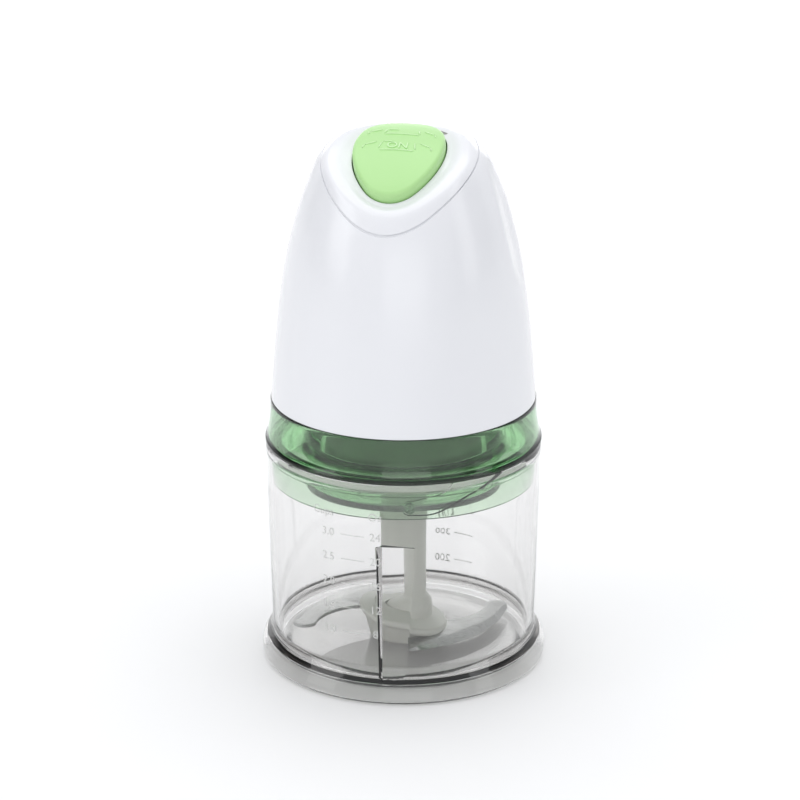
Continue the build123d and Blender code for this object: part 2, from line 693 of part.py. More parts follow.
def bridge_rectifier():
    """Rectifier on the board."""
    return chamfer(block(15, 4, 15, 172, 0, 35.2).edges().filter_by(Axis.Y).sort_by(Axis.X)[-1], 3)


def cord_gland():
    """Rubber gland of the supply cord at the back."""
    body = Cylinder(GLAND_R, 9.5) + Pos(0, 0, 4.75 + 1.0) * Cylinder(8, 2.0)
    body -= Cylinder(GLAND_BORE_R, 40)
    return Pos(0, 60.3 - 4.75, GLAND_Z) * Rot(-90, 0, 0) * body


# ---------------------------------------------------------------- blade unit
def blade(z, turn):
    """Crescent-shaped blade: convex edge of large radius, concave back, round tip, root under the hub."""
    face = make_face([
        ThreePointArc((2, -30), (34.2, -11.5), (47.6, 16.5)),
        ThreePointArc((47.6, 16.5), (46.5, 24.3), (39.5, 23.0)),
        ThreePointArc((39.5, 23.0), (32.5, 9.2), (19.0, 3.4)),
        Polyline((19.0, 3.4), (0, 9), (-9, 0), (-6, -18), (2, -30)),
    ])
    plate = Pos(0, 0, z) * extrude(face - Circle(5.2), BLADE_THICK)
    return Rot(0, 0, turn) * plate


def lower_blade():
    """Blade near the floor."""
    return blade(LOWER_BLADE_Z, BLADE_TURN)


def upper_blade():
    """Blade half a turn round, one step higher."""
    return blade(UPPER_BLADE_Z, BLADE_TURN + 180)


def blade_hub():
    """Plastic hub: tube with the drive socket, collar and a tilted oval brim that holds both blades."""
    body = tube(HUB_TUBE_R, 0, 20, HUB_TOP_Z)
    body += turned_points((0, HUB_BOTTOM_Z), (15.5, HUB_BOTTOM_Z), (16.5, 14), (HUB_COLLAR_R, 19),
                          (HUB_COLLAR_R, 25.5), (HUB_TUBE_R, 28), (0, 28))
    brim = Pos(0, 0, 17.3) * Rot(0, BRIM_TILT, 0) * fillet(Cylinder(HUB_BRIM_R, 4.4).edges(), 1.6)
    body += Rot(0, 0, BLADE_TURN) * brim
    body -= tube(PIVOT_R + 1.7, 0, HUB_BOTTOM_Z - 1, 40)
    body -= tube(6.5, 0, 38, SOCKET_Z)
    body -= tube(SOCKET_R, 0, SOCKET_Z, HUB_TOP_Z + 1)
    for middle in (-30, 150):
        lug = sector(SOCKET_R + 0.2, DOG_HALF_ANGLE, SOCKET_Z, HUB_TOP_Z - 1, middle) - tube(5.8, 0, 80, 100)
        body += lug
    return body - lower_blade() - upper_blade()


def hub_bush():
    """Brass bush in the hub that runs on the pivot pin."""
    return tube(PIVOT_R + 1.7, PIVOT_R + RUNNING, HUB_BOTTOM_Z, 37)


# ---------------------------------------------------------------- write every piece
save("bowl", bowl())
save("blade_pivot_pin", blade_pivot_pin())
save("lid", lid())
save("lid_gasket", lid_gasket())
save("motor_housing", motor_housing())
save("top_panel", top_panel())
save("power_button", power_button())
save("button_tray", button_tray())
save("button_spring", button_spring())
save("micro_switch", micro_switch())
save("switch_plunger", switch_plunger())
save("motor_base", motor_base())
save("housing_screws", housing_screws())
save("shaft_seal", shaft_seal())
save("output_bush", output_bush())
save("sun_gear", sun_gear())
for index in range(PLANET_COUNT):
    save(f"planet_gear_{index + 1}", planet_gear(index))
save("ring_gear", ring_gear())
save("planet_carrier", planet_carrier())
save("planet_pins", planet_pins())
save("output_spindle", output_spindle())
save("drive_dog", drive_dog())
save("gearbox_case", gearbox_case())
save("gearbox_cover", gearbox_cover())
save("gearbox_screws", gearbox_screws())
save("motor_mount_plate", motor_mount_plate())
save("mount_plate_screws", mount_plate_screws())
save("motor_rubber_ring", motor_rubber_ring())
save("lower_bracket", bracket(BRACKET_Z, BRACKET_Z, STACK_Z))
save("upper_bracket", bracket(TOP_BRACKET_Z, STACK_Z + STACK_HEIGHT, TOP_BRACKET_Z + 1))
save("lower_bearing", bearing(BRACKET_Z))
save("upper_bearing", bearing(TOP_BRACKET_Z - 2))
save("stator_core", stator_core())
save("field_coils", field_coils())
save("motor_shaft", motor_shaft())
save("armature_core", armature_core())
save("armature_windings", armature_windings())
save("commutator", commutator())
save("brush_holders", brush_holders())
save("carbon_brushes", carbon_brushes())
save("cooling_fan", cooling_fan())
save("circuit_board", circuit_board())
save("filter_capacitor", filter_capacitor())
save("bridge_rectifier", bridge_rectifier())
save("cord_gland", cord_gland())
save("lower_blade", lower_blade())
save("upper_blade", upper_blade())
save("blade_hub", blade_hub())
save("hub_bush", hub_bush())
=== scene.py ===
import json
import math

import bmesh
import bpy
import numpy as np
from bpy.props import FloatProperty, FloatVectorProperty, IntProperty, PointerProperty, StringProperty
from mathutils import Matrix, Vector


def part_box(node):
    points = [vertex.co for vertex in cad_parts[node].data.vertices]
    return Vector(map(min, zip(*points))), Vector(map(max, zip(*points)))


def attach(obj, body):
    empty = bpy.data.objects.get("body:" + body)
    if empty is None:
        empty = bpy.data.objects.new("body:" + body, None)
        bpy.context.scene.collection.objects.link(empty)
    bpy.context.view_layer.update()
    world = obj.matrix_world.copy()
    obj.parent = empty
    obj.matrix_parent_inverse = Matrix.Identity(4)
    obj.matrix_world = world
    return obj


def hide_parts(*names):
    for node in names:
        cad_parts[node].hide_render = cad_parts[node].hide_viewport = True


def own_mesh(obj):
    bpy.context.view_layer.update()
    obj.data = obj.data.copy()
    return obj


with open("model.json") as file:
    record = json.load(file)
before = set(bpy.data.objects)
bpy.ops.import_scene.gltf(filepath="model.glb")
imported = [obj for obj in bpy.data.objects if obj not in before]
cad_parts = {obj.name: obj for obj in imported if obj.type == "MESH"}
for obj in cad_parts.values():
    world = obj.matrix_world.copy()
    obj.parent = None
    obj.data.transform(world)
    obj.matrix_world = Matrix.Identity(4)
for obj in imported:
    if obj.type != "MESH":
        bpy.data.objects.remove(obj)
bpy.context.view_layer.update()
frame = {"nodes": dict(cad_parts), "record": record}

bl_info = {
    "name": "Mini food processor",
    "version": (1, 0, 0),
    "blender": (4, 5, 0),
    "location": "View3D > Sidebar > Food processor",
    "description": "Clear bowl, green lid, white motor unit and steel blades, built round the CAD frame",
    "category": "Object",
}

MM = 0.001
BODY_OF = {node: name for name, nodes in frame["record"]["behaviour"]["bodies"].items() for node in nodes}
SLOT_OF = {row["node"]: row["material_slot"] for row in frame["record"]["subparts"]}


# ---------------------------------------------------------------- sizes shared by several pieces, in mm
def top_of(node):
    """Highest point of a CAD node."""
    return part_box(node)[1].z / MM


def half_width(node):
    """Half the width of a CAD node along X."""
    return (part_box(node)[1].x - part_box(node)[0].x) / 2 / MM


LID_TOP_Z = top_of("lid")                 # the white housing starts here
RIM_Z = top_of("bowl")
FOOT_R = half_width("bowl")
TILT = math.radians(27.0)                 # slope of the top panel
PANEL_Z = 243.9                           # height of the panel's plane on the axis
PANEL_THICK = 3.2
ARCH_AXIS_Z = 166.0                       # height of the axis that the panel is arched about
ARCH_R = 81.2
ARCH_AHEAD = 23.3                         # the arch is highest this far in front of the plane's middle
ARCH_DROP = 75.5
SKIRT_END = -10.3                         # the button's skirt ends here, just above the tray's floor
SHELL_WALL = 2.4
PLANE_UP = np.array([0.0, -math.sin(TILT), math.cos(TILT)])
PLANE_BACK = np.array([0.0, math.cos(TILT), math.sin(TILT)])
PLANE_SIDE = np.array([1.0, 0.0, 0.0])
PANEL_CENTRE = (0.0, -12.0)               # middle of the button in the panel's plane
DOME_OUTLINE = [(60.1, LID_TOP_Z), (58.4, 148), (56.2, 170), (51.2, 200), (44.2, 224), (34.6, 242.5),
                (19.0, 250.7), (0, 253.0)]
LUG_COUNT = 3
LUG_ANGLE = 13.6                          # place of the front lug, from the front towards the right
BLADE_TURN = 11.0
GROOVE_Z, GROOVE_R = 94.1, 3.4            # middle and radius of a lock groove's round end
RIB_STEEP = (-0.8, 1.5)                    # a wedge rib's steep face, degrees from the rib's place


# ---------------------------------------------------------------- small tools
def to_linear(hex_text):
    """sRGB hex to linear red, green, blue, alpha."""
    text = hex_text.lstrip("#")
    part = [int(text[i:i + 2], 16) / 255 for i in (0, 2, 4)]
    return tuple(c / 12.92 if c <= 0.04045 else ((c + 0.055) / 1.055) ** 2.4 for c in part) + (1.0,)


def around(angle, radius, height):
    """Points at a radius and a height; the angle in degrees runs from the front (-Y) towards +X."""
    a = np.radians(angle)
    return np.stack(np.broadcast_arrays(radius * np.sin(a), -radius * np.cos(a), height), -1)


def through(points, at, start=None, end=None):
    """Smooth curve through points: cubic Hermite spans over chord length, with slopes from each point's
    neighbours. at runs from 0 at the first point to 1 at the last."""
    p = np.asarray(points, float)
    chord = np.r_[0, np.cumsum(np.linalg.norm(np.diff(p, axis=0), axis=1))]
    slope = np.gradient(p, chord, axis=0, edge_order=2 if len(p) > 2 else 1)
    if start is not None:
        slope[0] = start
    if end is not None:
        slope[-1] = end
    s = np.asarray(at, float) * chord[-1]
    i = np.clip(np.searchsorted(chord, s, side="right") - 1, 0, len(p) - 2)
    span = (chord[i + 1] - chord[i])[:, None]
    t = ((s - chord[i]) / span[:, 0])[:, None]
    return ((2 * t ** 3 - 3 * t ** 2 + 1) * p[i] + (t ** 3 - 2 * t ** 2 + t) * span * slope[i]
            + (3 * t ** 2 - 2 * t ** 3) * p[i + 1] + (t ** 3 - t ** 2) * span * slope[i + 1])


def eased(points, radius, steps=4, closed=True):
    """Outline with its corners eased: each corner becomes a parabola that starts and ends one radius away
    from it, or 45 percent of the way to its neighbour where that is less."""
    p = np.asarray(points, float)
    r = np.broadcast_to(np.asarray(radius, float), (len(p),)).copy()
    if not closed:
        r[0] = r[-1] = 0
    back = np.roll(p, 1, 0) - p
    ahead = np.roll(p, -1, 0) - p
    back_len = np.maximum(np.linalg.norm(back, axis=1), 1e-9)
    ahead_len = np.maximum(np.linalg.norm(ahead, axis=1), 1e-9)
    r = np.minimum(r, 0.45 * np.minimum(back_len, ahead_len))
    t = np.linspace(0, 1, steps)[None, :, None]
    first = (p + back / back_len[:, None] * r[:, None])[:, None]
    last = (p + ahead / ahead_len[:, None] * r[:, None])[:, None]
    curve = (1 - t) ** 2 * first + 2 * t * (1 - t) * p[:, None] + t ** 2 * last
    return curve.reshape(-1, 2)


def soft_max(a, b, reach):
    """The larger of a and b, blended where they differ by less than reach."""
    return np.maximum(a, b) + np.maximum(reach - np.abs(a - b), 0) ** 2 / (4 * reach)


def smooth(t):
    """0 below 0, 1 above 1, an S-curve between."""
    t = np.clip(t, 0, 1)
    return t * t * (3 - 2 * t)


def solve(inside, low, high):
    """Where the rising function inside(x) reaches zero between low and high, by halving, for whole arrays."""
    for _ in range(40):
        middle = (low + high) / 2
        below = inside(middle) < 0
        low = np.where(below, middle, low)
        high = np.where(below, high, middle)
    return (low + high) / 2


def quads_of(columns, rows, wrap_u, wrap_v):
    """Corner numbers of the faces between neighbouring columns and rows of a grid."""
    index = np.arange(columns * rows).reshape(columns, rows)
    a = index if wrap_u else index[:-1]
    b = np.roll(index, -1, 0) if wrap_u else index[1:]
    if wrap_v:
        return np.stack([a, b, np.roll(b, -1, 1), np.roll(a, -1, 1)], -1).reshape(-1, 4)
    return np.stack([a[:, :-1], b[:, :-1], b[:, 1:], a[:, 1:]], -1).reshape(-1, 4)


def piece(name, grids, node, material, replaces=True, crease=32.0):
    """One finished mesh from grids of points in mm, each given as (points, wrap_u, wrap_v): faces between
    neighbours, doubles merged so that seams and poles close, normals outwards, sharp edges kept."""
    verts, faces, base = [], [], 0
    for points, wrap_u, wrap_v in grids:
        columns, rows = points.shape[:2]
        verts.append(points.reshape(-1, 3) * MM)
        faces.append(quads_of(columns, rows, wrap_u, wrap_v) + base)
        base += columns * rows
    mesh = bpy.data.meshes.new(name)
    mesh.from_pydata(np.vstack(verts), [], np.vstack(faces))
    work = bmesh.new()
    work.from_mesh(mesh)
    bmesh.ops.remove_doubles(work, verts=work.verts, dist=2e-6)
    bmesh.ops.dissolve_degenerate(work, edges=work.edges, dist=1e-7)
    loose = [v for v in work.verts if not v.link_faces]
    bmesh.ops.delete(work, geom=loose, context="VERTS")
    bmesh.ops.recalc_face_normals(work, faces=work.faces)
    work.to_mesh(mesh)
    work.free()
    return dressed(name, mesh, node, material, replaces, crease)


def dressed(name, mesh, node, material, replaces=True, crease=32.0):
    """Object for a finished mesh: shaded, given its material, riding on the body of its CAD node."""
    mesh.shade_smooth()
    mesh.set_sharp_from_angle(angle=math.radians(crease))
    mesh.materials.clear()
    mesh.materials.append(material)
    obj = bpy.data.objects.new(name, mesh)
    bpy.context.scene.collection.objects.link(obj)
    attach(obj, BODY_OF[node])
    if replaces:
        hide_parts(node)
    return obj


def turned(profile, count=180):
    """Grid of a profile of (radius, height) turned about Z."""
    angle = np.linspace(0, 360, count, endpoint=False)[:, None]
    return around(angle, profile[:, 0][None], profile[:, 1][None]), True, True


# ---------------------------------------------------------------- materials
def add(tree, kind, inputs=(), **settings):
    """Adds one node to a tree, with its settings, and sets or links its inputs."""
    node = tree.nodes.new(kind)
    for key, value in settings.items():
        setattr(node, key, value)
    for key, value in dict(inputs).items():
        if isinstance(value, bpy.types.NodeSocket):
            tree.links.new(value, node.inputs[key])
        else:
            node.inputs[key].default_value = value
    return node


def new_material(name):
    """Empty material with its output node and the object's own coordinates."""
    mat = bpy.data.materials.get(name)
    if mat:
        return mat, None, None, None
    mat = bpy.data.materials.new(name)
    mat.use_nodes = True
    tree = mat.node_tree
    tree.nodes.clear()
    out = add(tree, "ShaderNodeOutputMaterial")
    place = add(tree, "ShaderNodeTexCoord").outputs["Object"]
    return mat, tree, out, place


def moulded(name, colour, second, roughness, ior=1.53, grain_mm=0.8, relief_mm=0.01, metallic=0.0,
            stretch=(1, 1, 1), spread=0.05, coat=0.0):
    """Opaque surface: two close colours drifting over centimetres, a fine grain in the height and a
    roughness that wanders by spread either way."""
    mat, tree, out, place = new_material(name)
    if tree is None:
        return mat
    drift = add(tree, "ShaderNodeTexNoise", {"Vector": place, "Scale": 1 / (45 * MM), "Detail": 3.0})
    tint = add(tree, "ShaderNodeMix", {0: drift.outputs[0], 6: to_linear(colour), 7: to_linear(second)},
               data_type="RGBA")
    stretched = add(tree, "ShaderNodeMapping", {"Vector": place, "Scale": stretch})
    grain = add(tree, "ShaderNodeTexNoise",
                {"Vector": stretched.outputs[0], "Scale": 1 / (grain_mm * MM), "Detail": 2.0})
    level = add(tree, "ShaderNodeMapRange",
                {0: grain.outputs[0], 3: max(roughness - spread, 0.02), 4: roughness + spread})
    bump = add(tree, "ShaderNodeBump",
               {"Height": grain.outputs[0], "Distance": relief_mm * MM, "Strength": 0.6})
    inputs = {"Base Color": tint.outputs[2], "Roughness": level.outputs[0], "Metallic": metallic,
              "Normal": bump.outputs[0]}
    if metallic < 0.5:
        inputs["IOR"] = ior
    if coat:
        inputs["Coat Weight"] = coat
        inputs["Coat Roughness"] = 0.2
    shader = add(tree, "ShaderNodeBsdfPrincipled", inputs)
    tree.links.new(shader.outputs[0], out.inputs["Surface"])
    return mat


def clear_plastic(name, colour, roughness, ior, dye, density, ripple_mm=14.0, relief_mm=0.02):
    """See-through moulding: smooth surface with the long, faint ripple that a mould leaves, a dye that
    darkens long paths through the wall, and lamps let through so that what is inside is lit."""
    mat, tree, out, place = new_material(name)
    if tree is None:
        return mat
    ripple = add(tree, "ShaderNodeTexNoise", {"Vector": place, "Scale": 1 / (ripple_mm * MM), "Detail": 1.0})
    bump = add(tree, "ShaderNodeBump",
               {"Height": ripple.outputs[0], "Distance": relief_mm * MM, "Strength": 0.5})
    haze = add(tree, "ShaderNodeMapRange", {0: ripple.outputs[0], 3: roughness, 4: roughness + 0.03})
    shader = add(tree, "ShaderNodeBsdfPrincipled",
                 {"Base Color": to_linear(colour), "Roughness": haze.outputs[0], "IOR": ior,
                  "Transmission Weight": 1.0, "Normal": bump.outputs[0]})
    open_to_lamps = add(tree, "ShaderNodeBsdfTransparent", {"Color": to_linear(colour)})
    lamp_ray = add(tree, "ShaderNodeLightPath").outputs["Is Shadow Ray"]
    mixed = add(tree, "ShaderNodeMixShader", {0: lamp_ray, 1: shader.outputs[0], 2: open_to_lamps.outputs[0]})
    tree.links.new(mixed.outputs[0], out.inputs["Surface"])
    volume = add(tree, "ShaderNodeVolumeAbsorption", {"Color": to_linear(dye), "Density": density})
    tree.links.new(volume.outputs[0], out.inputs["Volume"])
    return mat


def layered(name, colour, gap_colour, pitch_mm, direction, roughness, metallic, relief_mm):
    """Stacked or wound surface: bands of pitch_mm along a direction, with darker gaps cut into the height."""
    mat, tree, out, place = new_material(name)
    if tree is None:
        return mat
    # a wave texture has 20 / (2 pi) bands in one unit at scale 1
    wave = add(tree, "ShaderNodeTexWave",
               {"Vector": place, "Scale": 2 * math.pi / 20 / (pitch_mm * MM), "Distortion": 0.0},
               bands_direction=direction, wave_profile="SIN")
    tint = add(tree, "ShaderNodeMix",
               {0: wave.outputs["Fac"], 6: to_linear(gap_colour), 7: to_linear(colour)}, data_type="RGBA")
    bump = add(tree, "ShaderNodeBump",
               {"Height": wave.outputs["Fac"], "Distance": relief_mm * MM, "Strength": 0.8})
    speck = add(tree, "ShaderNodeTexNoise", {"Vector": place, "Scale": 1 / (2 * MM)})
    level = add(tree, "ShaderNodeMapRange", {0: speck.outputs[0], 3: roughness - 0.08, 4: roughness + 0.08})
    shader = add(tree, "ShaderNodeBsdfPrincipled",
                 {"Base Color": tint.outputs[2], "Roughness": level.outputs[0], "Metallic": metallic,
                  "Normal": bump.outputs[0]})
    tree.links.new(shader.outputs[0], out.inputs["Surface"])
    return mat


def clear_san():
    """Bowl: injection-moulded clear SAN, polished mould. Water-clear face on, brown-grey where the eye
    looks along the wall."""
    return clear_plastic("clear_moulded_SAN", "#FDFDFD", 0.01, 1.57, "#958E86", 26.0)


def green_san():
    """Lid: the same resin with a green dye. Pale face on, deep green through the long way of the band."""
    return clear_plastic("green_dyed_SAN", "#F8FCF4", 0.012, 1.57, "#00C04A", 165.0)


def white_abs():
    """Housing: high-gloss moulded white ABS, a cool white, soft wide highlights, slight orange peel."""
    return moulded("white_gloss_ABS", "#EBECEF", "#E7E8EC", 0.22, 1.54, 6.0, 0.012, spread=0.03, coat=0.35)


def button_abs():
    """Button: pale green moulded ABS from a finely blasted mould, satin."""
    return moulded("green_satin_ABS", "#B6E29B", "#ADDC92", 0.38, 1.54, 0.35, 0.012, spread=0.06)


def raised_marks():
    """Raised marks on the button: the same plastic, a little glossier; its paler colour is a painted highlight, the
    light that the raised strokes catch.
    """
    return moulded("green_ABS_painted_highlight", "#CBEEB6", "#C4E9AE", 0.3, 1.54, 0.35, 0.008, spread=0.04)


def hub_acetal():
    """Hub: moulded grey-beige acetal, satin with a waxy sheen."""
    return moulded("grey_moulded_acetal", "#C9CAC2", "#C1C2BA", 0.34, 1.48, 0.5, 0.012, spread=0.05)


def chassis_pp():
    """Motor base: moulded mid-grey polypropylene, fine blasted texture."""
    return moulded("grey_moulded_polypropylene", "#8D8F8A", "#858782", 0.42, 1.49, 0.4, 0.02)


def ground_stainless():
    """Blades: ground and tumbled stainless strip, a satin grey with long, fine grinding lines.
    Real lines are about 0.05 mm apart; they are drawn at 0.5 mm so that they show."""
    return moulded("ground_stainless_steel", "#A6A7A5", "#9A9B99", 0.28, 1.5, 0.25, 0.0015, metallic=1.0,
                   stretch=(0.04, 1, 1), spread=0.03)


def turned_steel():
    """Shafts, screws and pressed plates: zinc-plated steel, fine circular tool marks."""
    return moulded("zinc_plated_steel", "#B4B6B8", "#A2A4A6", 0.3, 1.5, 0.3, 0.006, metallic=1.0,
                   stretch=(0.2, 0.2, 1), spread=0.08)


def stacked_sheet():
    """Motor cores: varnished silicon-steel sheets, 0.5 mm each, seen as fine bands."""
    return layered("varnished_lamination_stack", "#6B6E72", "#2A2B2E", 0.5, "Z", 0.45, 0.7, 0.05)


def enamelled_copper():
    """Windings: enamelled copper wire of 0.45 mm laid side by side."""
    return layered("enamelled_copper_wire", "#B5602F", "#4A200E", 0.45, "Z", 0.3, 0.85, 0.15)


def sintered_bronze():
    """Bearings: oil-filled sintered bronze, dull with fine pores."""
    return moulded("sintered_bronze", "#A67C45", "#8F6938", 0.45, 1.5, 0.25, 0.02, metallic=1.0)


def gear_nylon():
    """Gears and fan: natural moulded nylon, creamy and slightly waxy."""
    return moulded("natural_moulded_nylon", "#E6E0CC", "#DCD5BE", 0.4, 1.53, 0.5, 0.012)


def black_plastic():
    """Gearbox and switch: black glass-filled nylon, fine spark texture."""
    return moulded("black_glass_filled_nylon", "#232426", "#1B1C1E", 0.5, 1.53, 0.3, 0.03)


def pressed_carbon():
    """Brushes: pressed carbon and graphite, dark grey with a dull shine."""
    return moulded("pressed_carbon", "#303133", "#252628", 0.55, 1.6, 0.2, 0.02, metallic=0.2)


def board_laminate():
    """Circuit board: glass-epoxy laminate under green lacquer, the 1 mm weave faintly raised."""
    return layered("glass_epoxy_laminate", "#2C7A45", "#256B3B", 1.0, "DIAGONAL", 0.35, 0.0, 0.02)


def film_capacitor():
    """Capacitor: yellow moulded polyester case."""
    return moulded("yellow_polyester_case", "#D9BE3A", "#CDB132", 0.35, 1.55, 0.4, 0.015)


def black_rubber():
    """Gland, seal and ring: black moulded rubber, dull."""
    return moulded("black_moulded_rubber", "#1D1D1E", "#262627", 0.65, 1.52, 0.4, 0.03)


def soft_silicone():
    """Gasket: natural silicone, milky and soft."""
    return moulded("natural_silicone", "#DCE2D8", "#D2D9CE", 0.45, 1.41, 0.6, 0.01)


def mark_ink():
    """Printed marks: pale grey ink, slightly raised and matt."""
    return moulded("pale_grey_print", "#C9C9C7", "#D0D0CE", 0.6, 1.5, 0.2, 0.01)


FINISHES = {"clear_bowl": clear_san, "green_lid": green_san, "silicone": soft_silicone,
            "white_shell": white_abs, "green_button": button_abs, "grey_chassis": chassis_pp,
            "hub_plastic": hub_acetal, "stainless": ground_stainless, "steel": turned_steel,
            "lamination_steel": stacked_sheet, "winding_copper": enamelled_copper, "bronze": sintered_bronze,
            "gear_nylon": gear_nylon, "black_plastic": black_plastic, "carbon": pressed_carbon,
            "board_laminate": board_laminate, "capacitor_case": film_capacitor, "black_rubber": black_rubber}


# ---------------------------------------------------------------- sizes and colours a user may change
class BowlSizes(bpy.types.PropertyGroup):
    """Bowl."""
    wall_foot: FloatProperty(name="Wall radius at the foot", default=60.6, description="Outer radius, mm")
    wall_top: FloatProperty(name="Wall radius at the rim", default=62.3, description="Outer radius, mm")
    rib_top: FloatProperty(name="Rib height", default=74.8, description="Top of the wedge ribs, mm")
    rib_depth: FloatProperty(name="Rib depth", default=2.7, description="Depth of a rib's steep face, mm")
    mark_height: FloatProperty(name="Mark height", default=5.3, description="Height of the figures, mm")


class LidSizes(bpy.types.PropertyGroup):
    """Lid."""
    wall: FloatProperty(name="Wall", default=2.2, description="Wall thickness, mm")
    cup: FloatProperty(name="Cup radius", default=44.5, description="Outer radius of the cup, mm")
    step: FloatProperty(name="Step radius", default=36.0, description="Radius of the cup's raised floor, mm")


class MotorUnitSizes(bpy.types.PropertyGroup):
    """Motor unit."""
    grip_depth: FloatProperty(name="Grip depth", default=2.0, description="Depth of the finger scoops, mm")
    lip: FloatProperty(name="Lip width", default=3.0, description="Width of the raised rim of the panel, mm")
    dish: FloatProperty(name="Dish depth", default=1.1, description="Depth of the dish round the button, mm")
    rise: FloatProperty(name="Button rise", default=4.4, description="Button above the panel, mm")


class BladeSizes(bpy.types.PropertyGroup):
    """Blade unit."""
    thick: FloatProperty(name="Blade thickness", default=1.5, description="mm")
    bevel: FloatProperty(name="Ground edge", default=0.3, description="Share of the width that is ground")
    brim_tilt: FloatProperty(name="Brim tilt", default=15.0, description="Slope of the hub's brim, degrees")


class StageSizes(bpy.types.PropertyGroup):
    """Floor, lamps and camera."""
    floor_colour: FloatVectorProperty(name="Floor", subtype="COLOR", size=4, default=to_linear("#F4F4F4"),
                                      description="Colour of the floor")
    elevation: FloatProperty(name="Elevation", default=20.2, description="Camera above the horizon, degrees")
    azimuth: FloatProperty(name="Azimuth", default=11.0, description="Camera turned from the front, degrees")
    distance: FloatProperty(name="Distance", default=1.7, unit="LENGTH", description="Camera to the object")


GROUPS = {"fp_bowl": BowlSizes, "fp_lid": LidSizes, "fp_motor": MotorUnitSizes, "fp_blades": BladeSizes,
          "fp_stage": StageSizes}


